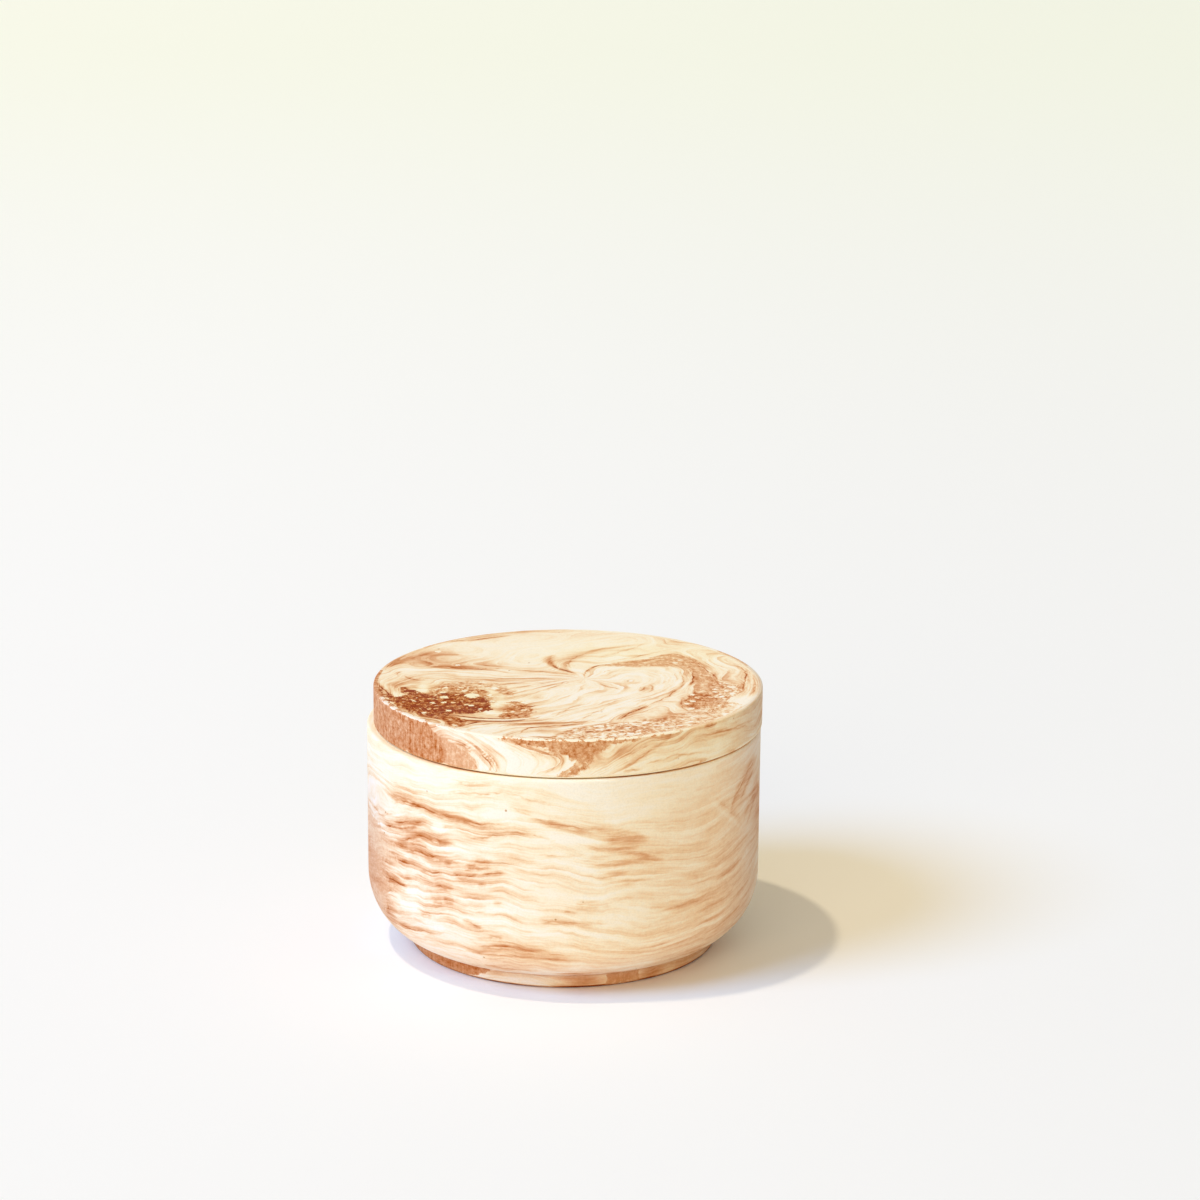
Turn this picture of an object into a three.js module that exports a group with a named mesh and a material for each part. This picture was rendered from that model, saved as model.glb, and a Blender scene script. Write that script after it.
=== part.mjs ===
import * as THREE from 'three';

// Treasure box: a round lidded keepsake pot, cast in marbled stone plaster.
// Millimetres, +Z up. The foot stands on Z = 0 and the bowl's axis is the Z axis.
// Two castings: the bowl, and a slab lid whose locating step drops into the bowl's mouth.

// Bowl, outside
const bowlRadius = 50;
const rimHeight = 57.6;
const bellyReach = 13.4;
const bellyRise = 16;

// Foot: a low solid disc that the belly runs into
const footRadius = 39.3;
const footHeight = 3.1;
const footFillet = 1;
const footEdgeRound = 0.3;

// Bowl, inside
const wallThickness = 5;
const floorThickness = 6;
const innerCorner = 12;
const rimRound = 0.7;

// Lid
const lidRadius = 49.3;
const lidThickness = 9.6;
const lidEdgeRound = 0.45;
const lidUnderRound = 0.3;
const stepDepth = 4;
const stepRound = 0.8;
const stepFillet = 0.5;

// Clearances
const seatGap = 0.3;
const mouthPlay = 1.4;
const touchGap = 0.4;

// Facets
const turnSteps = 72;
const bellySteps = 10;
const innerCornerSteps = 8;
const smallRoundSteps = 3;

const quarter = Math.PI / 2;
const half = Math.PI;

// Sizes that follow from the others
const mouthRadius = bowlRadius - wallThickness;
const bellyTop = footHeight + bellyRise;
const bellyFoot = bowlRadius - bellyReach;
const stepRadius = mouthRadius - mouthPlay;
const lidSeat = rimHeight + seatGap;
const lidTop = lidSeat + lidThickness;

// The lid lies as far towards +X as its play in the mouth lets it, which leaves touchGap there.
const lidShift = mouthPlay - touchGap;

// Points on an arc or elliptical arc of the profile plane, where x is the radius and y the height.
// The angles are in radians, from the outward direction towards up.
function arc(centre, reach, rise, from, to, steps) {
  const points = [];
  for (let i = 0; i <= steps; i += 1) {
    const angle = from + (to - from) * i / steps;
    const x = centre.x + reach * Math.cos(angle);
    const y = centre.y + rise * Math.sin(angle);
    points.push(new THREE.Vector2(x, y));
  }
  return points;
}

function point(x, y) {
  return new THREE.Vector2(x, y);
}

// A closed solid of revolution about Z. The profile starts and ends on the axis.
function turned(profile) {
  const geometry = new THREE.LatheGeometry(profile, turnSteps);
  geometry.rotateX(quarter);
  return geometry;
}

// The belly is a quarter ellipse. It stops where the fillet in the corner over the foot takes over,
// which is where a circle of that radius touches both the belly and the foot's upright side.
function bellyAndFootFillet() {
  const centre = point(bellyFoot, bellyTop);
  const filletX = footRadius + footFillet;
  const outerReach = bellyReach + footFillet;
  const outerRise = bellyRise + footFillet;
  const filletAngle = -Math.acos((filletX - centre.x) / outerReach);
  const filletCentre = point(filletX, centre.y + outerRise * Math.sin(filletAngle));
  const slope = Math.atan2(outerReach * Math.sin(filletAngle), outerRise * Math.cos(filletAngle));
  const fillet = arc(filletCentre, footFillet, footFillet, half, half + slope, smallRoundSteps);
  const belly = arc(centre, bellyReach, bellyRise, filletAngle, 0, bellySteps);
  return [...fillet, ...belly.slice(1)];
}

function bowlProfile() {
  const footEdge = point(footRadius - footEdgeRound, footEdgeRound);
  const outerRim = point(bowlRadius - rimRound, rimHeight - rimRound);
  const innerRim = point(mouthRadius + rimRound, rimHeight - rimRound);
  const inner = point(mouthRadius - innerCorner, floorThickness + innerCorner);
  return [
    point(0, 0),
    ...arc(footEdge, footEdgeRound, footEdgeRound, -quarter, 0, smallRoundSteps),
    ...bellyAndFootFillet(),
    ...arc(outerRim, rimRound, rimRound, 0, quarter, smallRoundSteps),
    ...arc(innerRim, rimRound, rimRound, quarter, half, smallRoundSteps),
    ...arc(inner, innerCorner, innerCorner, 0, -quarter, innerCornerSteps),
    point(0, floorThickness),
  ];
}

function lidProfile() {
  const stepFoot = lidSeat - stepDepth;
  const stepEdge = point(stepRadius - stepRound, stepFoot + stepRound);
  const stepCorner = point(stepRadius + stepFillet, lidSeat - stepFillet);
  const underEdge = point(lidRadius - lidUnderRound, lidSeat + lidUnderRound);
  const topEdge = point(lidRadius - lidEdgeRound, lidTop - lidEdgeRound);
  return [
    point(0, stepFoot),
    ...arc(stepEdge, stepRound, stepRound, -quarter, 0, smallRoundSteps),
    ...arc(stepCorner, stepFillet, stepFillet, half, quarter, smallRoundSteps),
    ...arc(underEdge, lidUnderRound, lidUnderRound, -quarter, 0, smallRoundSteps),
    ...arc(topEdge, lidEdgeRound, lidEdgeRound, 0, quarter, smallRoundSteps),
    point(0, lidTop),
  ];
}

function stonePlaster(colour) {
  return new THREE.MeshStandardMaterial({ color: colour, roughness: 0.75, metalness: 0 });
}

const bowl = new THREE.Mesh(turned(bowlProfile()), stonePlaster(0xe8cfae));
bowl.name = 'bowl';

const lid = new THREE.Mesh(turned(lidProfile()), stonePlaster(0xdcb894));
lid.name = 'lid';
lid.position.x = lidShift;

const treasureBox = new THREE.Group();
treasureBox.add(bowl, lid);

export default treasureBox;
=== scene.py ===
from math import acos, atan2, ceil, cos, hypot, pi, radians, sin

import bpy
import numpy as np
from mathutils import Matrix, Vector


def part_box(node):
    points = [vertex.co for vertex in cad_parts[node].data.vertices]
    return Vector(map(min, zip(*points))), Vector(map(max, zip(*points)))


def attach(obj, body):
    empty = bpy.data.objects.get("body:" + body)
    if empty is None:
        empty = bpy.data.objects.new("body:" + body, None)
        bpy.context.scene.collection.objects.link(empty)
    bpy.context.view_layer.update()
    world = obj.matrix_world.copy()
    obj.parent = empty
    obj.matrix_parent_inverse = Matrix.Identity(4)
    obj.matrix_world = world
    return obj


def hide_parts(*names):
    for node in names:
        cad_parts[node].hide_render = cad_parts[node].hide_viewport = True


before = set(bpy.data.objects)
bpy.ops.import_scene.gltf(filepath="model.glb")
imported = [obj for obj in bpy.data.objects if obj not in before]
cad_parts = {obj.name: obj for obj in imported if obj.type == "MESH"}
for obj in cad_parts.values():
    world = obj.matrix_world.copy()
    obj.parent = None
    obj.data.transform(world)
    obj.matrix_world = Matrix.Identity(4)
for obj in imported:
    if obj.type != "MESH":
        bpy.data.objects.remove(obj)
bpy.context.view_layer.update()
scene = bpy.context.scene
scene.view_settings.view_transform = "Standard"

# The camera stands in front of the box, a little above its lid, and looks down on it through a long
# lens that keeps the upright sides nearly parallel.
eye = Vector((0.0, -0.8506, 0.3206))
looks_down = radians(15.23)
looks_right = radians(0.60)
leans = radians(0.44)
aim = Matrix.Rotation(-looks_right, 4, "Z") @ Matrix.Rotation(pi / 2 - looks_down, 4, "X")

camera_data = bpy.data.cameras.new("camera")
camera_data.lens = 105
camera_data.sensor_width = 36
camera_data.clip_start = 0.01
camera_data.clip_end = 100
camera = bpy.data.objects.new("camera", camera_data)
camera.matrix_world = Matrix.Translation(eye) @ aim @ Matrix.Rotation(leans, 4, "Z")
scene.collection.objects.link(camera)
scene.camera = camera


# The floor is one wide sheet of white paper. Near the box it is a clean, slightly cool white. Its colour is
# painted a little darker and warmer further back, and darker towards the right, as painted shade and a
# painted warm cast.
floor_reach = 60.0
floor_left = (0.965, 0.958, 0.985, 1)
floor_right_shaded = (0.905, 0.900, 0.915, 1)
floor_back_left = (0.965, 0.965, 0.855, 1)
floor_back_right_shaded = (0.885, 0.900, 0.790, 1)


class Drawn:
    """A value in a material's node tree. What is reckoned with it is drawn as nodes in that tree."""

    def __init__(self, socket):
        self.socket = socket
        self.tree = socket.id_data

    def __add__(self, other):
        return maths("ADD", self, other)

    def __sub__(self, other):
        return maths("SUBTRACT", self, other)

    def __rsub__(self, other):
        return maths("SUBTRACT", other, self)

    def __mul__(self, other):
        return maths("MULTIPLY", self, other)

    def __truediv__(self, other):
        return maths("DIVIDE", self, other)

    __radd__ = __add__
    __rmul__ = __mul__

    def into(self, node, name):
        self.tree.links.new(self.socket, node.inputs[name])


def add_node(kind, inputs, tree=None, **settings):
    """A new node, in the tree that its inputs come from where none is given."""
    tree = tree or next(value.tree for value in inputs.values() if isinstance(value, Drawn))
    node = tree.nodes.new(kind)
    for key, value in settings.items():
        setattr(node, key, value)
    for key, value in inputs.items():
        if isinstance(value, Drawn):
            value.into(node, key)
        else:
            node.inputs[key].default_value = value
    return node


def draw(kind, inputs, output=0, tree=None, **settings):
    return Drawn(add_node(kind, inputs, tree, **settings).outputs[output])


def maths(operation, first, second=0.0):
    return draw("ShaderNodeMath", {0: first, 1: second}, operation=operation)


def between(value, low, high, to_low=0.0, to_high=1.0):
    inputs = {"Value": value, "From Min": low, "From Max": high, "To Min": to_low, "To Max": to_high}
    return draw("ShaderNodeMapRange", inputs, "Result", interpolation_type="SMOOTHSTEP")


def mixed(amount, first, second, blend="MIX"):
    return draw("ShaderNodeMix", {0: amount, 6: first, 7: second}, 2, data_type="RGBA", blend_type=blend)


def split(vector):
    return [Drawn(part) for part in add_node("ShaderNodeSeparateXYZ", {0: vector}).outputs]


def new_material(name):
    material = bpy.data.materials.new(name)
    material.use_nodes = True
    tree = material.node_tree
    spot = draw("ShaderNodeTexCoord", {}, "Object", tree)
    return material, tree, tree.nodes["Principled BSDF"], spot


bpy.ops.object.select_all(action="DESELECT")
bpy.ops.mesh.primitive_plane_add(size=2 * floor_reach, location=(0, 0, 0))
floor = bpy.context.object
floor.name = "floor"
paper, _, shader, spot = new_material("paper")
to_right, to_back, _ = split(spot)
paper_near = mixed(between(to_right, -0.25, 0.30), floor_left, floor_right_shaded)
paper_back = mixed(between(to_right, -0.9, 0.9), floor_back_left, floor_back_right_shaded)
mixed(between(to_back, 0.1, 2.2), paper_near, paper_back).into(shader, "Base Color")
shader.inputs["Roughness"].default_value = 0.9
shader.inputs["Specular IOR Level"].default_value = 0.2
floor.data.materials.append(paper)


# A wide cool window light stands low on the left, a small warm lamp hangs almost overhead, a weak warm
# one fills in from the front, and a pale warm sky lights the rest.
def add_lamp(name, towards, strength, colour, width):
    data = bpy.data.lights.new(name, "SUN")
    data.energy = strength
    data.color = colour
    data.angle = radians(width)
    lamp = bpy.data.objects.new(name, data)
    lamp.rotation_mode = "QUATERNION"
    lamp.rotation_quaternion = Vector(towards).to_track_quat("Z", "Y")
    scene.collection.objects.link(lamp)


add_lamp("window", (-1.0, -0.5, 1.0), 2.14, (0.335, 0.58, 1.0), 26)
add_lamp("overhead_lamp", (-0.311, -0.03, 1.0), 0.84, (1.0, 0.84, 0.54), 2.5)
add_lamp("front_lamp", (-0.32, -1.0, 0.40), 0.74, (1.0, 0.86, 0.58), 40)

sky_light = (0.495, 0.438, 0.315, 1)
sky_seen = (0.93, 0.92, 0.90, 1)
world = bpy.data.worlds.new("sky")
scene.world = world
world.use_nodes = True
ray = add_node("ShaderNodeLightPath", {}, world.node_tree).outputs
seen = Drawn(ray["Is Camera Ray"])
for kind in ("Is Glossy Ray", "Is Transmission Ray"):
    seen = maths("MAXIMUM", seen, Drawn(ray[kind]))
mixed(seen, sky_light, sky_seen).into(world.node_tree.nodes["Background"], "Color")


# The bowl is one casting in marbled stone plaster: a straight round wall over a belly that curves in
# to a low foot disc, hollow inside, with a flat rim. Its profile is drawn and turned on the Z axis.
mm = 0.001
_, bowl_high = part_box("bowl")
bowl_radius = bowl_high.x / mm
rim_height = bowl_high.z / mm
belly_reach = 13.4
belly_rise = 16
foot_radius = 39.3
foot_height = 3.1
foot_fillet = 1
foot_edge_round = 0.7
wall_thickness = 5
floor_thickness = 6
inner_corner = 12
rim_round = 0.7
bowl_around = 448
belly_steps = 44
mouth_radius = bowl_radius - wall_thickness
belly_top = foot_height + belly_rise
belly_foot = bowl_radius - belly_reach


def arc(centre, reach, rise, start, end, steps):
    turns = np.linspace(start, end, steps + 1)
    return [(centre[0] + reach * cos(a), centre[1] + rise * sin(a)) for a in turns]


def run(start, end, step):
    """Points from start up to, but not with, the end of a straight run, at most a step apart."""
    count = max(1, ceil(hypot(end[0] - start[0], end[1] - start[1]) / step))
    return [tuple(np.array(start) + (np.array(end) - np.array(start)) * i / count) for i in range(count)]


def turned(name, profile, around, centre_x):
    """A closed casting whose half profile, in mm from its foot to its end on the axis, is turned about Z."""
    weld = 0.002 * mm
    bpy.ops.object.select_all(action="DESELECT")
    axis = (centre_x * mm, 0, profile[0][1] * mm)
    bpy.ops.mesh.primitive_plane_add(size=mm, location=axis)
    piece = bpy.context.object
    piece.name = name
    bpy.ops.object.mode_set(mode="EDIT")
    bpy.ops.mesh.select_mode(type="VERT")
    bpy.ops.mesh.select_all(action="SELECT")
    bpy.ops.mesh.merge(type="CENTER")
    for here, there in zip(profile[:-1], profile[1:]):
        step = ((there[0] - here[0]) * mm, 0, (there[1] - here[1]) * mm)
        bpy.ops.mesh.extrude_vertices_move(TRANSFORM_OT_translate={"value": step})
    bpy.ops.object.mode_set(mode="OBJECT")
    lathe = piece.modifiers.new("lathe", "SCREW")
    lathe.steps = around
    lathe.render_steps = around
    lathe.use_merge_vertices = True
    lathe.merge_threshold = weld
    bpy.ops.object.modifier_apply(modifier="lathe")
    bpy.ops.object.transform_apply(location=True, rotation=True, scale=True)
    bpy.ops.object.mode_set(mode="EDIT")
    bpy.ops.mesh.select_all(action="SELECT")
    bpy.ops.mesh.remove_doubles(threshold=weld)
    bpy.ops.mesh.normals_make_consistent(inside=False)
    bpy.ops.object.mode_set(mode="OBJECT")
    bpy.ops.object.shade_smooth_by_angle(angle=radians(40))
    return piece


# The belly's ellipse stops where a small round fillet in the corner over the foot touches it.
fillet_reach = belly_reach + foot_fillet
fillet_drop = belly_rise + foot_fillet
fillet_x = foot_radius + foot_fillet
fillet_angle = -acos((fillet_x - belly_foot) / fillet_reach)
fillet_centre = (fillet_x, belly_top + fillet_drop * sin(fillet_angle))
fillet_slope = atan2(fillet_reach * sin(fillet_angle), fillet_drop * cos(fillet_angle))
foot_edge = (foot_radius - foot_edge_round, foot_edge_round)
outer_rim = (bowl_radius - rim_round, rim_height - rim_round)
inner_rim = (mouth_radius + rim_round, rim_height - rim_round)
inner_centre = (mouth_radius - inner_corner, floor_thickness + inner_corner)
fine = 0.5
coarse = 2.2
bowl_profile = [
    *run((0, 0), (foot_radius - foot_edge_round, 0), 4),
    *arc(foot_edge, foot_edge_round, foot_edge_round, -pi / 2, 0, 3)[:-1],
    *run((foot_radius, foot_edge_round), (foot_radius, fillet_centre[1]), fine),
    *arc(fillet_centre, foot_fillet, foot_fillet, pi, pi + fillet_slope, 4)[:-1],
    *arc((belly_foot, belly_top), belly_reach, belly_rise, fillet_angle, 0, belly_steps)[:-1],
    *run((bowl_radius, belly_top), (bowl_radius, rim_height - rim_round), fine),
    *arc(outer_rim, rim_round, rim_round, 0, pi / 2, 4),
    *run((outer_rim[0], rim_height), (inner_rim[0], rim_height), 0.9)[1:],
    *arc(inner_rim, rim_round, rim_round, pi / 2, pi, 3)[:-1],
    *run((mouth_radius, rim_height - rim_round), (mouth_radius, inner_centre[1]), coarse),
    *arc(inner_centre, inner_corner, inner_corner, 0, -pi / 2, 12)[:-1],
    *run((inner_centre[0], floor_thickness), (0, floor_thickness), 3),
    (0, floor_thickness),
]
bowl = turned("marbled_bowl", bowl_profile, bowl_around, 0)


# The marbling follows the poured layers. A vein is its depth of colour, below nought where it is pale,
# how far it fades above and below its line, in mm, and the line's points on the wall: degrees from the
# front, rising to the right, and mm of height.
bowl_veins = [
    (0.48, 1, 0.45, [(-66, 46.5), (-57, 45), (-54, 45.8), (-47, 46.3), (-43, 45.8), (-38, 45.5), (-33, 45),
        (-27, 45.3), (-25, 44.8), (-20, 45.6), (-15, 45.8), (-12, 45.3)]),
    (0.3, 1.5, 0.5, [(-44, 46), (-38, 45.7), (-33, 45.3), (-26, 45.5)]),
    (0.35, 2.6, 1, [(-64, 47.4), (-57, 46.6), (-50, 47), (-42, 46.8)]),
    (0.48, 1.2, 0.5, [(-65, 35.3), (-62, 37), (-58, 37.8), (-53, 39), (-49, 39.8), (-47, 41.2), (-43, 42.2),
        (-41, 42.8)]),
    (0.16, 1.8, 0.6, [(-57, 38.6), (-52, 39.6), (-48, 41), (-44, 42.2)]),
    (0.35, 0.5, 0.4, [(-80, 39), (-70, 39.3), (-66, 38.6), (-62, 40), (-57, 41)]),
    (0.52, 1, 0.5, [(-56, 35), (-52, 35.5), (-48, 37), (-44, 38.3), (-40, 38.8), (-37, 38), (-34, 38.6),
        (-31, 38.4)]),
    (0.32, 1.5, 0.9, [(-48, 37.6), (-44, 38.5), (-40, 38.9), (-36, 38.6), (-33, 38.5)]),
    (0.3, 0.5, 0.4, [(-50, 35), (-47, 35.5), (-42, 36.2)]),
    (0.45, 1, 0.5, [(-56, 34.3), (-50, 33.6), (-45, 34.3), (-41, 34), (-38, 33.8), (-34, 34.3), (-30, 33.8)]),
    (0.5, 0.5, 0.4, [(-36, 33.2), (-33, 33.3)]),
    (0.4, 0.7, 0.4, [(-45, 29.3), (-40, 30), (-36, 30.5)]),
    (0.45, 0.6, 0.4, [(-33, 31.2), (-31, 31), (-29.5, 30.3), (-27.5, 30.9), (-26, 31.6), (-25, 32)]),
    (0.35, 3.5, 3, [(-80, 22), (-70, 27), (-62, 30), (-54, 30), (-50, 30)]),
    (0.3, 1.2, 1, [(-70, 24), (-60, 25), (-53, 25.5), (-49, 26.2), (-45, 26.8)]),
    (0.4, 0.5, 0.4, [(-57, 25.2), (-53, 25.6), (-48, 26.4)]),
    (0.45, 1.6, 0.8, [(-75, 17), (-65, 18), (-60, 20.5), (-55, 21.3)]),
    (0.4, 2.2, 2.2, [(-75, 16), (-68, 14), (-62, 14), (-57, 15.5)]),
    (0.3, 0.6, 0.5, [(-62, 22.5), (-55, 23.5), (-50, 23.8)]),
    (0.4, 0.8, 0.4, [(-58, 11.8), (-54, 12.5), (-52, 12), (-48, 12.8), (-43, 13.5), (-36, 14.5)]),
    (0.4, 0.9, 0.5, [(-39, 26.8), (-36, 27), (-32, 26.8)]),
    (0.35, 0.8, 0.6, [(-36, 24), (-34, 24), (-32, 24.3)]),
    (0.35, 0.8, 0.5, [(-40, 22), (-36, 23)]),
    (0.35, 0.8, 0.5, [(-45, 18.1), (-40, 18.6)]),
    (0.3, 0.6, 0.5, [(-47, 28), (-41, 28.3)]),
    (0.3, 0.5, 0.35, [(-34, 55.2), (-28, 55), (-23, 56), (-18, 56.5)]),
    (0.45, 0.8, 0.35, [(-35, 51.5), (-27, 52.8), (-20, 53), (-17, 54), (-14, 53.2), (-12, 53.4), (-10, 52.5),
        (-7, 52.5), (-4, 51.5)]),
    (0.45, 2.6, 0.6, [(-16, 51), (-12, 49.5), (-8, 48.5), (-4, 46.8), (0, 46), (5, 45.5), (10, 45),
        (15, 44.8)]),
    (0.4, 0.8, 0.4, [(-28, 40.7), (-24, 41.3), (-20, 42.3), (-15, 43.2), (-13, 43.6), (-10, 44), (-7, 43.2),
        (-4, 42.8), (-3, 42), (-1, 43.2)]),
    (0.35, 0.8, 0.4, [(-15, 43.2), (-12, 43.8), (-9, 43.6)]),
    (0.2, 2, 1.2, [(-8, 46.8), (0, 46), (8, 45), (15, 43.9), (20, 42.9), (25, 41.7)]),
    (0.12, 1.2, 0.9, [(6, 43.6), (12, 42.7), (18, 42), (23, 41.6)]),
    (-0.34, 1, 0.8, [(-12, 43.4), (-4, 42.9), (3, 42.4), (8, 41.9), (12, 41.6)]),
    (0.12, 1.4, 1, [(5, 40.8), (12, 39.9), (20, 38.6), (26, 37), (31, 36)]),
    (0.12, 1.1, 0.8, [(10, 40.4), (16, 40.2), (22, 39.6)]),
    (0.1, 1.1, 0.8, [(2, 37.4), (9, 37.5), (16, 37.2), (23, 36.6)]),
    (0.1, 0.9, 0.7, [(6, 34.6), (12, 33.9), (20, 33.2)]),
    (0.1, 0.8, 0.6, [(9, 31.9), (15, 31.6), (22, 30.8)]),
    (-0.2, 0.8, 0.6, [(-4, 38.8), (3, 38.4), (9, 38.6)]),
    (0.18, 0.8, 0.6, [(3, 24.6), (9, 25.4), (15, 26.4), (21, 27.2)]),
    (0.25, 0.6, 0.5, [(-8, 38.5), (0, 38.3), (6, 38.5)]),
    (0.3, 0.7, 0.5, [(-26, 35.5), (-20, 36)]),
    (0.4, 0.5, 0.4, [(-29, 33.2), (-27, 34), (-24, 34.3)]),
    (0.4, 0.5, 0.4, [(-29, 32), (-27, 33), (-24, 33.5), (-21, 34)]),
    (0.45, 0.5, 0.4, [(-23, 32.5), (-18, 33), (-16, 33)]),
    (0.25, 0.6, 0.5, [(-25, 29), (-22, 29.5)]),
    (0.25, 0.6, 0.5, [(-20, 25), (-17, 25.5)]),
    (0.5, 0.8, 0.7, [(-30, 19.5), (-27, 19), (-25, 18.2), (-23, 18.5)]),
    (0.25, 0.6, 0.4, [(-22, 16), (-17, 16.5)]),
    (0.3, 0.8, 0.5, [(-8, 22), (-3, 21.5), (5, 21.3), (12, 20.6)]),
    (0.25, 0.7, 0.5, [(3, 26), (10, 26.5)]),
    (0.25, 0.7, 0.5, [(0, 24.3), (5, 24.3)]),
    (0.28, 1.2, 0.6, [(-29, 14.9), (-27, 14.4), (-25, 13.4), (-22, 13.4), (-18, 13.9), (-13, 14.2),
        (-6, 13.6), (-2, 12.6), (4, 12)]),
    (0.18, 1.8, 0.9, [(-27, 15.6), (-20, 15.4), (-13, 15.2), (-6, 14.6)]),
    (0.18, 1.6, 0.8, [(-14, 12), (-6, 11.4), (2, 11)]),
    (0.3, 0.5, 0.4, [(-35, 10.5), (-28, 10.5), (-20, 10.8), (-15, 11.3), (-11, 11.2), (-6, 11.9)]),
    (0.3, 0.8, 0.6, [(-26, 6.8), (-16, 6.4), (-7, 6.6)]),
    (0.25, 0.6, 0.5, [(-4, 5.6), (3, 5.4), (10, 5.6)]),
    (0.16, 1, 0.8, [(28, 22), (33, 22.3), (40, 23), (47, 23.8)]),
    (0.12, 0.6, 0.5, [(36, 19), (46, 19.8), (56, 21.5), (66, 24), (76, 26.5)]),
    (0.12, 0.6, 0.5, [(30, 15), (42, 15.6), (54, 17.4), (66, 20.4), (76, 23)]),
    (0.12, 0.5, 0.5, [(44, 12), (54, 13.6), (64, 16.4), (72, 19)]),
    (0.14, 0.7, 0.6, [(48, 25.6), (57, 27), (66, 29.5)]),
    (0.35, 2, 2, [(70, 42), (76, 42.5), (82, 42)]),
    (0.18, 0.9, 0.6, [(20, 5), (25, 5.3), (28, 6), (33, 6.8), (40, 7), (50, 6.5), (60, 5)]),
    # Painted shade: a dark line all round in the crease over the foot.
    (0.55, 0.45, 0.45, [(-64, 3.9), (-40, 3.7), (-20, 3.7), (0, 3.7), (30, 3.7), (60, 3.8), (90, 3.9)]),
    (0.35, 0.7, 0.6, [(13, 4.4), (20, 4.6)]),
    (-0.35, 1.6, 1.4, [(-52, 22.2), (-46, 23), (-40, 23.5)]),
    (-0.35, 1.3, 1.1, [(-55, 18.2), (-50, 18.8), (-45, 19)]),
    (-0.3, 1, 0.9, [(-45, 15.8), (-35, 16.4)]),
    (-0.3, 1.4, 1.2, [(-41, 41.2), (-35, 41.8)]),
    (-0.25, 1.4, 1.2, [(-25, 47.2), (-12, 47.8)]),
    (-0.25, 1.2, 1, [(-24, 23), (-12, 23.6)]),
]

# A hook of colour high on the right, which crosses the layers.
bowl_hooks = [
    (0.13, 0.8, 0.6, [(48, 48), (53, 44.6), (58, 41.4), (62, 39)]),
    (-0.14, 0.7, 0.6, [(46, 47.4), (51, 44), (57, 40), (63, 36.2)]),
    (0.5, 1.4, 1, [(76, 52), (70, 51), (65, 49.4), (61, 47.4), (58, 45), (56, 42.6)]),
    (0.28, 0.7, 0.6, [(73, 49.8), (68, 48.2), (64, 46), (61, 43.6)]),
    (0.22, 1.6, 1.2, [(82, 46.4), (76, 45.2), (71, 43), (67, 40.4), (64, 37.6)]),
    (0.2, 0.7, 0.6, [(76, 42.4), (71, 40), (68, 37.8), (66, 36)]),
]

# Broad stains under the veins: degrees, mm, half widths in degrees and mm, and the depth of colour. The long
# low ones and those at 2 mm deepen the lower belly and the foot, partly as the stone's own colour and partly
# as painted shade.
bowl_stains = [
    (-64, 27, 14, 7, 0.2), (-67, 19, 10, 7, 0.4), (-66, 15, 11, 4, 0.22), (-55, 10, 11, 3, 0.14),
    (-57, 3, 16, 3, 0.26), (-55, 22, 9, 5, 0.08), (-17, 36, 14, 5, 0.14), (82, 37, 8, 9, 0.18),
    (72, 17, 14, 7, 0.08), (-52, 45, 9, 4, 0.14), (-50, 37, 12, 4, 0.12), (-70, 50, 22, 6, -0.08),
    (-76, 42, 12, 8, 0.12), (-30, 52, 20, 5, -0.08), (-34, 32, 34, 19, 0.19), (17, 39, 13, 6, 0.09),
    (38, 26, 22, 22, 0.22), (66, 32, 26, 30, 0.26), (10, 6, 60, 3.5, 0.16), (-38, 6.5, 12, 3, -0.1),
    (-10, 6.5, 10, 3, 0.1), (40, 6.5, 8, 3, -0.1), (-25, 20, 10, 8, 0.06), (5, 11, 60, 4, 0.18),
    (4, 50, 15, 7, -0.14), (-25, 2.8, 11, 1.3, 0.36), (6, 2, 8, 2, 0.5), (34, 2, 6, 2, 0.52),
    (52, 2, 12, 2, 0.4), (76, 2, 14, 2, 0.54), (52, 51, 9, 6, 0.08), (120, 38, 26, 10, 0.22),
    (165, 18, 24, 9, 0.26), (205, 44, 26, 8, 0.2), (240, 22, 22, 9, 0.3), (150, 52, 20, 5, -0.1),
    (265, 40, 14, 8, 0.1), (-70, 16, 6, 4, 0.14), (-60, 30, 5, 2.5, 0.12), (-60, 2, 8, 2, 0.2),
    (-70, 34, 6, 3, -0.1), (70, 46, 6, 3, -0.1), (80, 34, 6, 6, 0.08), (-20, 14, 6, 3, -0.06),
    (55, 10, 14, 4, 0.08),
]


# The patch that the pour drew out sideways from the left: its depth of colour, froth, upright combing
# and lacing along the layers, and its outline in degrees and mm. A point given twice keeps its corner.
bowl_flames = [
    (0.4, 0, 0, 0.5, [(-98, 38), (-76, 37), (-66, 36), (-54, 32.4), (-62, 31.4), (-53, 29.6), (-64, 27),
        (-62, 24), (-55, 22), (-64, 20), (-58, 17.4), (-66, 13), (-76, 9), (-92, 8.4), (-112, 11),
        (-102, 13.6), (-126, 16.6), (-110, 19), (-134, 23), (-112, 25.4), (-128, 29.6), (-108, 31.4),
        (-118, 35)]),
    (0.66, 0, 0, 0.4, [(-92, 31), (-74, 30.6), (-65, 28.4), (-60, 22), (-63, 16.4), (-71, 12.6), (-82, 10),
        (-96, 12), (-92, 15), (-108, 18), (-94, 21), (-110, 25), (-96, 28)]),
]
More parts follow.
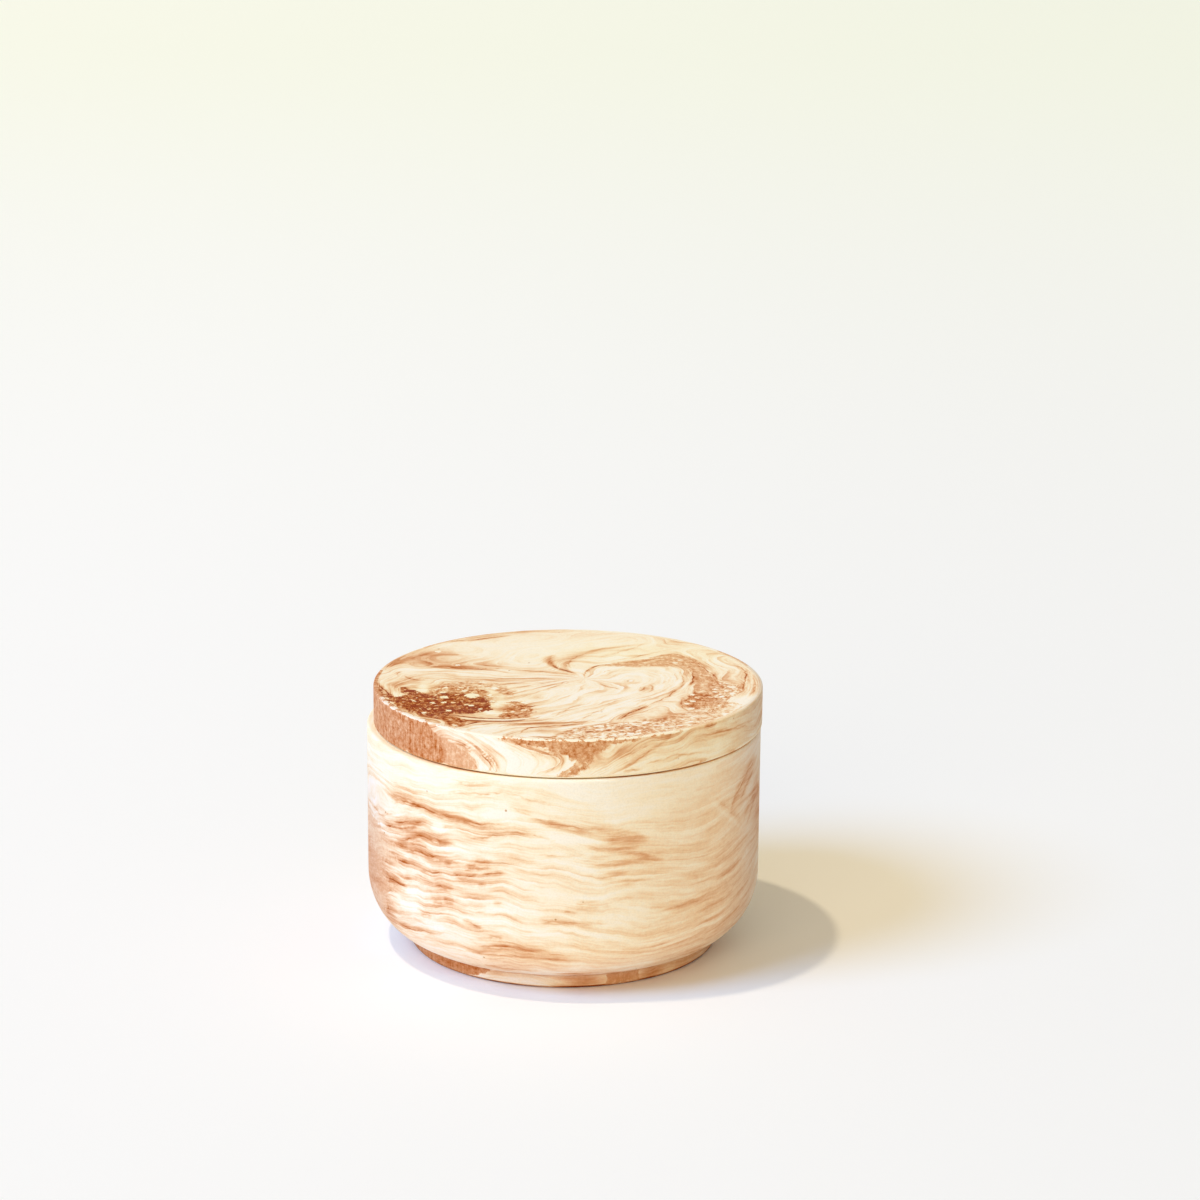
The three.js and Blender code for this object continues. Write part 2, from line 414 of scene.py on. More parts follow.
# Soft-edged wedges of colour on the front, with how much deeper they are than the stone round them.
bowl_wedges = [
    (0.07, [(-59.5, 45), (-53.2, 45.9), (-47.2, 46.4), (-41.2, 46), (-36.2, 46.1), (-31.5, 46.1),
        (-28, 45.8), (-24.8, 45.1), (-28.5, 44.7), (-33.2, 44.2), (-37, 44), (-40.5, 44.1), (-44, 44.7),
        (-49, 45), (-54.2, 45)]),
    (0.08, [(-65, 35.2), (-58.2, 38.4), (-52.2, 40.4), (-46, 42), (-41.5, 42.3), (-45.5, 40.4),
        (-50, 39), (-55.8, 37.3), (-61.2, 35.8)]),
    (0.06, [(-52.8, 36.8), (-47, 38), (-40.5, 39.2), (-37.2, 38.8), (-31.2, 38.4), (-35.5, 37.4),
        (-38.8, 37), (-42.2, 37.1), (-46.5, 36.9)]),
    (0.06, [(-43.8, 34.4), (-38.8, 34.4), (-34, 34.3), (-29.5, 33.6), (-32.5, 33.5), (-37.2, 33.6),
        (-41.5, 33.8)]),
    (0.16, [(-4.2, 47.8), (-1, 46.8), (4.5, 46), (10.2, 45.4), (16.5, 44.6), (21.8, 43.4),
        (24, 42.1), (25, 40.7), (21.8, 40.3), (16.5, 40.3), (12.5, 40.8), (12, 41.9), (12.5, 42.6),
        (10.2, 43.4), (6, 43.4), (1.8, 44), (-2.2, 45), (-5.5, 46.7)]),
    (0.16, [(5.2, 41), (10.2, 40.9), (14.2, 40), (19.5, 39.4), (23, 38.1), (25.5, 36.8),
        (22.5, 36.8), (18.8, 37.7), (14.5, 38.5), (10.2, 39.2), (7.5, 39.8)]),
    (0.19, [(16.5, 37.1), (21.8, 37), (25.5, 36.6), (30, 35.6), (30, 35.6), (26.2, 35.3), (22, 35.5),
        (18.2, 35.2), (13, 35.1), (8.8, 34.9), (3.2, 35.1), (3.2, 35.1), (7.5, 35.8), (11.8, 36.4)]),
    (0.15, [(8.5, 34.1), (11.5, 34.5), (14.8, 34.3), (19.5, 33.5), (15.5, 32.9), (11.5, 33.1)]),
    (0.15, [(7.5, 32.3), (11.5, 32.6), (15.5, 32), (12, 31.6), (9.2, 31.8)]),
    (0.13, [(14.2, 30.5), (18.2, 30.9), (22, 30.2), (19, 29.8), (16, 30)]),
]
# Patches of deep colour on the foot: the foot's own brown band, deepened further as painted shade low on the
# foot.
bowl_patches = [
    (0.7, 0, 0.5, 0.3, [(-96, 4), (-100, 3.2), (-112, 1.4), (-104, -1), (-62, -1), (-46, -1), (-38, -0.4),
        (-33, 1), (-28, 2.7), (-27, 3.2), (-40, 3.8), (-50, 4)]),
    (0.58, 0, 0.3, 0, [(16, 4), (16, 4), (28.8, 4), (28.8, 4), (28.8, 0.4), (28.8, 0.4), (16, 0.5),
        (16, 0.5)]),
]


def rounded(points, closed=False):
    """A drawn line or outline with its corners cut three times."""
    line = np.array(points, float)
    for _ in range(3):
        ahead = np.roll(line, -1, axis=0) if closed else line[1:]
        behind = line if closed else line[:-1]
        cut = np.stack([0.75 * behind + 0.25 * ahead, 0.25 * behind + 0.75 * ahead], 1).reshape(-1, 2)
        line = cut if closed else np.concatenate([line[:1], cut, line[-1:]])
    return line


def drawn_line(points, scale, step=0.5):
    """A vein's points joined into a smooth curve in mm, cut into short steps, with its left hand side
    and the part of its length at each step."""
    line = rounded(points) * scale
    length = np.concatenate([[0], np.cumsum(np.hypot(*np.diff(line, axis=0).T))])
    stops = np.linspace(0, length[-1], max(3, int(length[-1] / step)))
    line = np.stack([np.interp(stops, length, line[:, i]) for i in (0, 1)], 1)
    heading = np.gradient(line, axis=0)
    heading /= np.hypot(*heading.T)[:, None] + 1e-9
    return line, np.stack([-heading[:, 1], heading[:, 0]], 1), stops / length[-1]


def apart(places, line, girth):
    """Steps on the surface from the points of a line to the places, the short way round the wall."""
    gap = places[:, None, :] - line[None]
    if girth:
        gap[..., 0] = (gap[..., 0] + girth / 2) % girth - girth / 2
    return gap


def near_to(line, reach, places, girth):
    """The middle of a line's box, the step from it to each place, and which places the line may reach."""
    middle = (line.min(0) + line.max(0)) / 2
    half = (line.max(0) - line.min(0)) / 2 + reach
    gap = apart(places, middle[None], girth)[:, 0]
    return middle, gap, np.flatnonzero((np.abs(gap) < half).all(1))


def soft_step(value, low, high):
    part = np.clip((value - low) / (high - low), 0, 1)
    return part * part * (3 - 2 * part)


def lay_veins(places, veins, scale, girth=0.0):
    """What the drawn veins leave at each place: the depth of colour, the way in mm to the nearest vein's
    line, how dark that fine line is, and how far inside the nearest vein's crisp edge the place is."""
    far_off, furthest = 9.0, 3.0
    reach_widths, taper_part = 4.2, 0.3
    core, halo, halo_widths = 0.86, 0.14, 2.4
    depth = np.zeros(len(places))
    away = np.full(len(places), far_off)
    second = np.full(len(places), far_off)
    line_depth = np.zeros(len(places))
    inside = np.full(len(places), furthest)
    for strength, left, right, points in veins:
        line, side, part = drawn_line(points, scale)
        _, _, near = near_to(line, reach_widths * max(left, right, 0.7), places, girth)
        if not len(near):
            continue
        gap = apart(places[near], line, girth)
        nearest = (gap ** 2).sum(2).argmin(1)
        gap = gap[np.arange(len(near)), nearest]
        taper = np.clip(np.minimum(part, 1 - part) / taper_part, 0.04, 1)[nearest] ** 0.7
        across = (gap * side[nearest]).sum(1)
        if left < right:
            left, right, across = right, left, -across
        distance = np.hypot(*gap.T)
        width = np.where(across > 0, left, right) * taper
        crisp = right < 0.75 * left
        if crisp:
            width = np.where(across > 0, width, width + 0.6 * taper)
        fading = core * np.exp(-((distance / width) ** np.where(crisp & (across > 0), 1.2, 2.6)))
        fading += halo * np.exp(-((distance / (halo_widths * width)) ** 2))
        depth[near] += strength * taper ** 0.5 * fading
        if strength > 0:
            edge = across + (0.4 * min(right, 1.0) if crisp else 0.0)
            far = np.hypot(edge, np.sqrt(np.maximum(distance ** 2 - across ** 2, 0)))
            last = np.abs(away[near])
            first = far < last
            second[near] = np.where(first, last, np.minimum(second[near], far))
            away[near] = np.where(first, np.copysign(far, edge), away[near])
            dark = strength * taper * np.exp(-distance) * (right < 1.3)
            line_depth[near] = np.where(first, dark, line_depth[near])
            if crisp:
                cut = np.clip(edge, -1.2, 3) + 4.2 * soft_step(distance, 0.5, 1.7) + 2 * (1 - taper)
                inside[near] = np.minimum(inside[near], cut)
    line_depth *= soft_step(second - np.abs(away), 0.1, 0.8)
    return depth, np.clip(away, -furthest, furthest), line_depth, np.clip(inside, -furthest, furthest)


def lay_stains(places, stains, scale, girth=0.0):
    depth = np.zeros(len(places))
    for x, y, half_x, half_y, strength in stains:
        middle = np.array([[x, y]]) * scale
        gap = apart(places, middle, girth)[:, 0] / (np.array([half_x, half_y]) * scale)
        depth += strength * np.exp(-(gap ** 2).sum(1))
    return depth


def lay_patches(places, patches, scale, girth=0.0):
    """How far inside the drawn patches each place is, in mm, and what the patches look like there."""
    far_off, furthest, blend = 9.0, 3.0, 0.5
    inside_by = np.full(len(places), -furthest)
    share_of = np.full(len(places), 1e-9)
    looks = np.zeros((len(places), len(patches[0]) - 1))
    for *look, outline in patches:
        line = rounded(outline, closed=True) * scale
        middle, gap, near = near_to(line, furthest, places, girth)
        spot = gap[near] + middle
        distance = np.full(len(near), far_off)
        within = np.zeros(len(near), bool)
        for one, two in zip(line, np.roll(line, -1, axis=0)):
            along = two - one
            part = np.clip((spot - one) @ along / (along @ along + 1e-12), 0, 1)
            distance = np.minimum(distance, np.hypot(*(spot - one - part[:, None] * along).T))
            spans = (one[1] > spot[:, 1]) != (two[1] > spot[:, 1])
            rise = along[1] if abs(along[1]) > 1e-12 else 1e-12
            within ^= spans & (spot[:, 0] < one[0] + (spot[:, 1] - one[1]) * along[0] / rise)
        signed = np.clip(np.where(within, distance, -distance), -furthest, furthest)
        inside_by[near] = np.maximum(inside_by[near], signed)
        weight = np.exp(signed / blend)
        share_of[near] += weight
        looks[near] += weight[:, None] * np.array(look)
    return inside_by, (looks / share_of[:, None]).T


def layer_height(places, veins, scale, spread, level, girth=0.0):
    """Height of the poured layers, in mm, which run along every drawn vein. Far from the veins they
    lie level, if level is (0, 1)."""
    firm = 0.15
    at_once = 8000
    spread, level = np.array(spread), np.array(level, float)
    lines = [drawn_line(points, scale, 4.0)[:2] for *_, points in veins]
    spots, sides = (np.concatenate(rows) for rows in zip(*lines))
    if level[1]:
        sides = np.where(sides[:, 1:] > 0.5, sides / np.maximum(sides[:, 1:], 0.5), sides)
    wanted = (sides - level) * spread
    gap = apart(spots, spots, girth) / spread
    near = np.exp(-(gap ** 2).sum(2) / 2)
    pull = (np.eye(2) - gap[..., :, None] * gap[..., None, :]) * near[..., None, None]
    count = len(spots)
    pull = pull.transpose(0, 2, 1, 3).reshape(2 * count, 2 * count)
    weight = np.linalg.solve(pull + firm * np.eye(2 * count), wanted.ravel()).reshape(count, 2)
    height = places @ level
    for start in range(0, len(places), at_once):
        part = slice(start, start + at_once)
        gap = (apart(places[part], spots, girth) / spread).astype(np.float32)
        near = np.exp(-(gap ** 2).sum(2) / 2)
        height[part] += (near * (gap * weight.astype(np.float32)).sum(2)).sum(1)
    return height


def deep_swirl(x, y, z):
    """Height of the layers inside the stone, where no vein is drawn: long slow folds, in mm."""
    fold = 5.0 * np.sin(x / 17 + 1.3 * np.sin(y / 23 + 0.7) + 0.4)
    fold = fold + 4.0 * np.sin(y / 13 - x / 31 + 1.9 * np.sin(x / 26))
    return z + fold + 2.2 * np.sin(y / 7.5 + 1.1 * np.sin(x / 9 + z / 30))


def deep_depth(x, y, z):
    broad = np.sin(x / 15 + 1.4 * np.sin(y / 19) + z / 21) * np.sin(y / 17 - 0.8 * np.sin(x / 12) + 1.0)
    return 0.24 + 0.20 * broad


def unrolled(piece, wall_radius, centre_x=0):
    """A turned piece's points in mm from its axis, their distance from it and their angle from the front,
    and their places on the unrolled wall, with the scale that leads there and the wall's girth."""
    flat = np.zeros(3 * len(piece.data.vertices), np.float32)
    piece.data.vertices.foreach_get("co", flat)
    x, y, z = (flat.reshape(-1, 3).astype(float) / mm).T
    x = x - centre_x
    angle = np.degrees(np.arctan2(x, -y))
    per_degree = wall_radius * pi / 180
    places = np.stack([angle * per_degree, z], 1)
    return x, y, z, np.hypot(x, y), angle, places, np.array([per_degree, 1.0]), 2 * pi * wall_radius


def store(piece, **layers):
    """Gives the piece's mesh the numbers at each point that its material reads by name."""
    for name, values in layers.items():
        layer = piece.data.attributes.new(name, "FLOAT", "POINT")
        layer.data.foreach_set("value", values.astype(np.float32))


def store_looks(piece, looks):
    store(piece, **dict(zip(("patch_depth", "froth", "comb", "lace"), looks)))


def levelled(depth, most, scale):
    """The veins' depth of colour, held under a most where veins cross."""
    return most * np.tanh(depth / scale)


def side_shade(angle, start, full):
    """How much painted shade greys the stone round one side: it starts at one angle, is full at the next, and
    is gone again at the back."""
    return soft_step(angle, start, full) * (1 - soft_step(angle, 100, 140))


def stray_veins(seed, count, angles, heights, lengths):
    """Veins of the same kind, in degrees and mm, for the side that the photograph doesn't show."""
    rng = np.random.default_rng(seed)
    veins = []
    for _ in range(count):
        length = rng.uniform(*lengths)
        angle = rng.uniform(angles[0], angles[1] - length)
        height = rng.uniform(*heights)
        slope = rng.normal(0, 0.06)
        points = []
        for i in range(6):
            points.append((angle + length * i / 5, height + slope * length * i / 5 + rng.normal(0, 0.45)))
        strength = rng.uniform(0.2, 0.6) * rng.choice([1, 1, 1, -0.6])
        veins.append((strength, rng.uniform(0.5, 1.8), rng.uniform(0.35, 0.7), points))
    return veins


bowl_veins += stray_veins(seed=11, count=80, angles=(82, 278), heights=(3, 56), lengths=(8, 42))
x, y, z, radius, angle, places, wall_scale, girth = unrolled(bowl, bowl_radius)

# The drawn marbling is on the outside only. The inside and the underside have the long slow folds.
under_corner = np.clip((inner_centre[1] - z) / inner_corner, 0, 1)
inner_radius = inner_centre[0] + inner_corner * np.sqrt(1 - under_corner ** 2)
outside = soft_step(radius - inner_radius, 0.6, wall_thickness - 0.4)
outside = np.where(z < floor_thickness - 0.1, soft_step(radius, foot_radius - 3, foot_radius - 0.2), outside)

vein_depth, vein_away, vein_line, vein_inside = lay_veins(places, bowl_veins + bowl_hooks, wall_scale, girth)
# Flames and wedges are long and low, so their edges are measured with the wall squeezed sideways.
squeeze = np.array([0.25, 1.0])
squeezed = (wall_scale * squeeze, girth * squeeze[0])
flame_in, flame_looks = lay_patches(places * squeeze, bowl_flames, *squeezed)
wedge_in, (wedge_depth,) = lay_patches(places * squeeze, bowl_wedges, *squeezed)
patch_in, patch_looks = lay_patches(places, bowl_patches, wall_scale, girth)
base_depth = 0.09
bowl_depth = base_depth + 0.8 * lay_stains(places, bowl_stains, wall_scale, girth)
bowl_depth += wedge_depth * soft_step(wedge_in, -0.2, 0.35)
bowl_flow = layer_height(places, bowl_veins, wall_scale, spread=(13.0, 5.0), level=(0, 1), girth=girth)
streaky_spots = [(-40, 28, 36, 26, 0.45), (66, 30, 52, 70, -0.50), (0, 53, 70, 7, -0.2)]
rosy_spots = [(-60, 24, 50, 30, 1.2), (55, 26, 36, 60, 0.5), (-10, 5, 40, 5, 0.9)]
streaky = 0.62 + lay_stains(places, streaky_spots, wall_scale, girth)
rosy = 0.5 + 0.5 * lay_stains(places, rosy_spots, wall_scale, girth)

# The rim's outer edge under the lid and the foot's lowest edge are coloured deeper, as painted shade in the
# seam under the lid and at the foot's contact with the floor.
lid_shift = 1
lid_reach = 49.3
under_lid = 1 - soft_step(np.hypot(x - lid_shift, y), lid_reach - 0.4, lid_reach)
rim_seam_shade = soft_step(z, rim_height - 0.25, rim_height - 0.02) * soft_step(radius, 47, 48.4) * under_lid
foot_contact_shade = (1 - soft_step(z, 0.15, foot_edge_round)) * soft_step(radius, 37, 38.2)
bowl_depth += 0.6 * rim_seam_shade + 0.9 * foot_contact_shade
# Painted shade: the stone is greyed round the right side, low on the left and at the foot's lowest edge.
low_left_shade = 0.55 * side_shade(-angle, 54, 76) * (1 - soft_step(z, 36, 58))
store(
    bowl,
    dusk=np.clip(side_shade(angle, 46, 76) + low_left_shade + foot_contact_shade, 0, 1) * outside,
    depth=bowl_depth * outside + deep_depth(x, y, z) * (1 - outside),
    vein=levelled(vein_depth, 0.37, 0.5) * outside,
    inside=vein_inside,
    flow=bowl_flow * outside + deep_swirl(x, y, z) * (1 - outside),
    streaky=streaky * outside + 0.6 * (1 - outside),
    away=vein_away,
    line=0.5 * vein_line * outside,
    patch=np.maximum(patch_in, flame_in) * outside - 3 * (1 - outside),
    rosy=np.clip(rosy, 0, 1),
)
store_looks(bowl, np.where(patch_in > flame_in, patch_looks, flame_looks))

# The stone's colours by how much colour the pour left, from cream to deep terracotta.
stone_tones = [
    (0.00, (255, 252, 241)),
    (0.16, (254, 244, 219)),
    (0.33, (246, 219, 181)),
    (0.50, (230, 183, 140)),
    (0.68, (210, 147, 97)),
    (0.85, (183, 101, 34)),
    (1.00, (139, 51, 1)),
]
white = (1, 1, 1, 1)
yellower = (255, 251, 226)
pinker = (255, 246, 250)
# The grey of the painted shade on the stone's darker sides.
deepest_shade = (0.80, 0.80, 0.92, 1)
pinhole_tint = (208, 176, 142)


def linear(colour):
    parts = [c / 255 for c in colour]
    return tuple(c / 12.92 if c < 0.04045 else ((c + 0.055) / 1.055) ** 2.4 for c in parts) + (1,)


def joined(x, y, z):
    return draw("ShaderNodeCombineXYZ", {"X": x, "Y": y, "Z": z})


def drawn_up(vector, height):
    """The same places with their heights scaled, which draws noise out or squashes it upright."""
    return draw("ShaderNodeVectorMath", {0: vector, 1: (1, 1, height)}, operation="MULTIPLY")


def noise(vector, scale, detail=0.0, roughness=0.5):
    inputs = {"Vector": vector, "Scale": scale, "Detail": detail, "Roughness": roughness}
    return draw("ShaderNodeTexNoise", inputs, "Fac")


def swaying(reach, vector, scale, detail, roughness=0.5):
    """A noise turned into a step of up to reach either way."""
    return (noise(vector, scale, detail, roughness) - 0.5) * (2 * reach)


def cells(vector, scale):
    """Scattered round cells: the distance from the nearest one's middle, and a number for each cell."""
    found = add_node("ShaderNodeTexVoronoi", {"Vector": vector, "Scale": scale, "Randomness": 1}).outputs
    return Drawn(found["Distance"]), draw("ShaderNodeSeparateColor", {0: Drawn(found["Color"])})


def marbled_stone(name, shift):
    """Marbled stone plaster. Colour settles at the foot of each poured layer and fades upwards. The layers'
    height, the depth of colour, the fine lines and the patches of froth come from the piece."""
    material, tree, shader, spot = new_material(name)

    def read(attribute):
        return draw("ShaderNodeAttribute", {}, "Fac", tree, attribute_name=attribute)

    inputs = {0: spot, 1: (1 / mm, 1 / mm, 1 / mm), 2: (shift, shift, shift)}
    spot = draw("ShaderNodeVectorMath", inputs, operation="MULTIPLY_ADD")
    spot_x, spot_y, _ = split(spot)
    squat = drawn_up(spot, 0.35)
    streaky = read("streaky")
    calm = between(streaky, 0.0, 1.0, 0.35, 1.0)
    folds = swaying(3.0, squat, 0.055, 1) + swaying(0.9, squat, 0.17, 1)
    flow = folds * calm + (read("flow") + swaying(0.2, squat, 0.6, 1))

    def layers(thickness, length, fade, low, seed):
        """One set of poured layers: crisp below, fading above, and coming and going along their length."""
        height = flow / thickness
        vector = joined(spot_x / length, spot_y / length, maths("FLOOR", height) * 7.31 + seed)
        strength = between(noise(vector, 1.0, 2, 0.6), low, 0.66)
        return maths("POWER", 1.0 - maths("FRACT", height), fade) * strength

    def drawn_out(length, height, detail):
        """Soft clouds of colour that the pour has drawn out along the layers."""
        vector = joined(spot_x / length, spot_y / length, flow / height)
        return swaying(1.0, vector, 1.0, detail, 0.62)

    wide = layers(thickness=4.6, length=30, fade=1.3, low=0.40, seed=3.1)
    middle = layers(thickness=1.9, length=19, fade=1.5, low=0.42, seed=9.7)
    thin = layers(thickness=0.75, length=12, fade=1.4, low=0.40, seed=17.3)
    cloud = drawn_out(length=15, height=1.7, detail=4)
    strand = drawn_out(length=6, height=0.42, detail=2)
    finger = drawn_out(length=14, height=1.1, detail=1)
    layered = (wide * 0.22 + (middle * 0.26 + thin * 0.15) - 0.09) * streaky
    soft = (cloud * 0.30 + strand * 0.13) * (0.22 + streaky * 0.95)
    grip = 0.90 + (cloud * 0.6 + middle * 0.20)
    wiggle = swaying(1.0, squat, 0.32, 2)
    within = between(read("inside") + wiggle, -0.35, 0.20, 0.40, 1.0)
    vein = read("vein") * within * (1.0 + strand * 0.4)
    grit = swaying(0.09, spot, 0.8, 4, 0.7)
    depth = (read("depth") + vein) * grip + (grit + (layered + soft))
    line = between(maths("ABSOLUTE", read("away") + wiggle), 0.40, 0.03)
    broken = between(noise(spot, 0.25, 1), 0.28, 0.45)
    depth = depth + line * broken * read("line")

    # In the patches the colour is mottled, combed upright, or laced along the layers, with pale bubbles.
    comb = read("comb")
    lace = read("lace")
    froth = read("froth")
    ragged = swaying(1.7, spot, 0.55, 4, 0.7) * (1.0 + froth * 0.8 - comb * 0.6)
    ragged = ragged + (cloud * 0.8 + finger * 2.4) * lace
    edge = 0.22 + lace * 0.4
    cover = between(read("patch") + ragged, edge * -1.0, edge)
    mottle = swaying(0.48, spot, 0.9, 4, 0.75) * between(froth * 3.0 + comb, 0.0, 1.0, 0.45, 1.0)
    combed = swaying(0.34, drawn_up(spot, 0.13), 1.5, 3, 0.65) * comb
    laced = cloud * 0.35 + (strand * 0.30 + middle * 0.20)
    inner = read("patch_depth") + mottle + combed + (laced - 0.05) * lace
    inner = inner + swaying(0.7, spot, 0.45, 4, 0.7) * froth
    inputs = {0: spot, 1: 1.0 - lace * 0.4, 2: joined(0.0, 0.0, flow * lace * 1.3)}
    stretched = draw("ShaderNodeVectorMath", inputs, operation="MULTIPLY_ADD")
    for scale, size, fade, less in ((0.44, 0.37, 0.76, 0.0), (1.05, 0.42, 0.60, 0.3), (1.9, 0.46, 0.42, 0.5)):
        distance, paler = cells(stretched, scale)
        bubble = between(distance, size, size * 0.55)
        fades = between(lace, 0.0, 1.0, fade, fade * (1 - less))
        inner = inner - bubble * paler * froth * fades
    depth = draw("ShaderNodeMix", {0: cover, 2: depth, 3: inner}, data_type="FLOAT")
    pale = read("pale")
    chipped = between(pale + swaying(2.2, spot, 0.42, 4, 0.75) * pale, 0.42, 0.60)
    depth = draw("ShaderNodeMix", {0: chipped, 2: depth, 3: 0.10}, data_type="FLOAT")

    ramp = add_node("ShaderNodeValToRGB", {"Fac": depth})
    stops = ramp.color_ramp.elements
    while len(stops) < len(stone_tones):
        stops.new(0.5)
    for stop, (place, tone) in zip(stops, stone_tones):
        stop.position = place
        stop.color = linear(tone)
    rosy = mixed(read("rosy"), linear(yellower), linear(pinker))
    # Painted shade: the colour is greyed and cooled where the piece holds painted shade.
    dusk = mixed(read("dusk"), white, deepest_shade)
    distance, chance = cells(spot, 0.16)
    pinhole = between(distance, 0.06, 0.03) * between(chance, 0.60, 0.72)
    pinholes = mixed(pinhole, white, linear(pinhole_tint))
    grain = noise(spot, 2.2, 4, 0.7)
    speck = between(grain, 0.30, 0.62, 0.935, 1.0)
    colour = Drawn(ramp.outputs["Color"])
    for tint in (rosy, dusk, pinholes, joined(speck, speck, speck)):
        colour = mixed(1.0, colour, tint, "MULTIPLY")
    colour.into(shader, "Base Color")

    between(noise(spot, 0.14, 4), 0.3, 0.7, 0.62, 0.80).into(shader, "Roughness")
    shader.inputs["Specular IOR Level"].default_value = 0.15
    bump = draw("ShaderNodeBump", {"Height": grain, "Strength": 0.25, "Distance": 0.12 * mm}, "Normal")
    bump.into(shader, "Normal")
    return material


bowl.data.materials.append(marbled_stone("marbled_stone_bowl", 0))
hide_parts("bowl")
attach(bowl, "bowl")


# The lid is a flat round slab, cast in the same stone in its own mould. A low step under it drops into
# the bowl's mouth with some play, and the lid lies pushed to the right.
lid_low, lid_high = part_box("lid")
lid_radius = (lid_high.x - lid_low.x) / 2 / mm
lid_centre = (lid_high.x + lid_low.x) / 2 / mm
lid_top = lid_high.z / mm
step_foot = lid_low.z / mm
step_depth = 4
lid_seat = step_foot + step_depth
lid_edge_round = 0.45
lid_under_round = 0.3
step_radius = 43.6
step_round = 0.8
step_fillet = 0.5
lid_around = 512

step_edge = (step_radius - step_round, step_foot + step_round)
step_corner = (step_radius + step_fillet, lid_seat - step_fillet)
under_edge = (lid_radius - lid_under_round, lid_seat + lid_under_round)
top_edge = (lid_radius - lid_edge_round, lid_top - lid_edge_round)
lid_profile = [
    *run((0, step_foot), (step_edge[0], step_foot), 3),
    *arc(step_edge, step_round, step_round, -pi / 2, 0, 4)[:-1],
    *run((step_radius, step_edge[1]), (step_radius, step_corner[1]), 0.9),
    *arc(step_corner, step_fillet, step_fillet, pi, pi / 2, 3)[:-1],
    *run((step_corner[0], lid_seat), (under_edge[0], lid_seat), 1.2),
    *arc(under_edge, lid_under_round, lid_under_round, -pi / 2, 0, 3)[:-1],
    *run((lid_radius, under_edge[1]), (lid_radius, top_edge[1]), fine),
    *arc(top_edge, lid_edge_round, lid_edge_round, 0, pi / 2, 4)[:-1],
    *run((top_edge[0], lid_top), (0, lid_top), fine),
    (0, lid_top),
]
lid = turned("marbled_lid", lid_profile, lid_around, lid_centre)

# Veins, stains and patches on the lid's upright edge, drawn as on the bowl.
edge_veins = [
    (0.45, 2, 2, [(-84, 62), (-70, 63), (-58, 62.5), (-46, 63), (-40, 61)]),
    (0.35, 1.5, 1.5, [(-84, 60), (-66, 60), (-52, 60.5), (-38, 59.5)]),
    (0.35, 1.5, 1.5, [(-84, 65.5), (-66, 65.5), (-52, 66), (-44, 66)]),
    (0.35, 0.8, 0.8, [(-52, 66.5), (-45, 66.5)]),
    (0.35, 0.8, 0.8, [(-43, 63), (-38, 61), (-35, 60)]),
    (0.3, 0.5, 0.7, [(-33, 63.9), (-29.4, 63), (-27.4, 61.5), (-26.4, 59.9), (-27, 58)]),
    (-0.3, 0.5, 0.5, [(-31, 64), (-28, 62.8), (-26, 61), (-25.2, 59.4), (-26, 57.8)]),
    (0.45, 0.45, 1.5, [(-34, 64.6), (-29, 63.7), (-25.4, 62.3), (-22.8, 60.8), (-21.9, 59.4), (-23.2, 57.8)]),
    (0.38, 0.4, 0.6, [(-33, 65.2), (-27, 64), (-23, 62.3), (-20.6, 60.6), (-19.9, 59.3), (-21.2, 57.8)]),
    (0.05, 0.5, 0.5, [(-28, 65.4), (-22, 64.2), (-18, 62.4), (-16.6, 60.6), (-18.4, 58)]),
    (0.2, 0.45, 1.2, [(-20, 65.2), (-15, 63.8), (-12.9, 62), (-13.2, 60.2), (-16.4, 58)]),
    (0.16, 0.45, 1, [(-15, 65.2), (-10, 64), (-8, 62.2), (-8.4, 60.4), (-11.8, 58)]),
    (0.26, 0.45, 1.2, [(-11, 65.4), (-5.6, 64.2), (-3.4, 62.4), (-4, 60.6), (-8, 58)]),
    (0.28, 0.4, 0.8, [(-8, 65.5), (-3.4, 64.5), (-1.3, 62.6), (-2, 60.7), (-5.6, 58.2)]),
    (0.4, 0.8, 0.5, [(-20, 66.7), (-10, 66.2), (0, 65.5)]),
    (0.22, 0.7, 0.7, [(3, 61.6), (0.4, 59.8), (-2.4, 58.2), (-5, 57)]),
    (0.28, 1.6, 1.6, [(3, 66), (6.5, 64.4), (8, 62.6), (5, 60.6)]),
    (0.12, 0.7, 0.5, [(5, 58.6), (11, 61.2), (16, 63), (22, 65), (29, 67)]),
    (0.22, 0.6, 0.5, [(15, 59.2), (17.5, 60.8), (22, 62.9), (26.5, 64.8), (31, 66.6)]),
    (0.32, 0.45, 0.4, [(15.5, 59.1), (18, 59.3), (22, 59.4)]),
    (0.24, 0.5, 0.4, [(20.5, 60.3), (25, 60.8), (30, 61.3), (36, 61.2), (42, 60.8)]),
    (0.35, 0.7, 0.7, [(27, 67), (31, 67)]),
    (0.35, 0.7, 0.7, [(42, 67), (48, 67)]),
    (0.16, 0.9, 0.7, [(45, 65), (55, 64), (60, 63.5), (65, 62), (70, 61.5)]),
]
edge_stains = [
    (-62, 63, 28, 6, 0.22), (-12, 60, 12, 4, -0.08), (-44, 65.5, 8, 2.5, 0.1), (34, 62, 25, 6, 0.02),
    (60, 62, 25, 6, 0.17), (40, 65.5, 12, 2, 0.24), (12, 64.6, 9, 2, 0.2), (10, 61, 7, 3, 0.04),
    (-17, 61, 3, 3, -0.14), (-17, 60, 7, 3, -0.08), (20, 61.5, 7, 3, -0.1), (-70, 65, 14, 4, 0.12),
    (-4, 60, 8, 3.5, -0.2), (2, 62.5, 4, 2, -0.1), (10, 59.3, 6, 1.6, -0.08), (-28, 62, 4, 3, -0.08),
    (13, 65, 5, 2, 0.22), (84, 62, 9, 8, 0.14), (120, 62, 25, 6, 0.25), (190, 62, 30, 6, 0.05),
    (240, 62, 20, 6, 0.3), (-70, 65.5, 10, 2, 0.1), (-50, 65.5, 8, 1.5, 0.1), (-30, 65.5, 6, 1.5, -0.08),
]
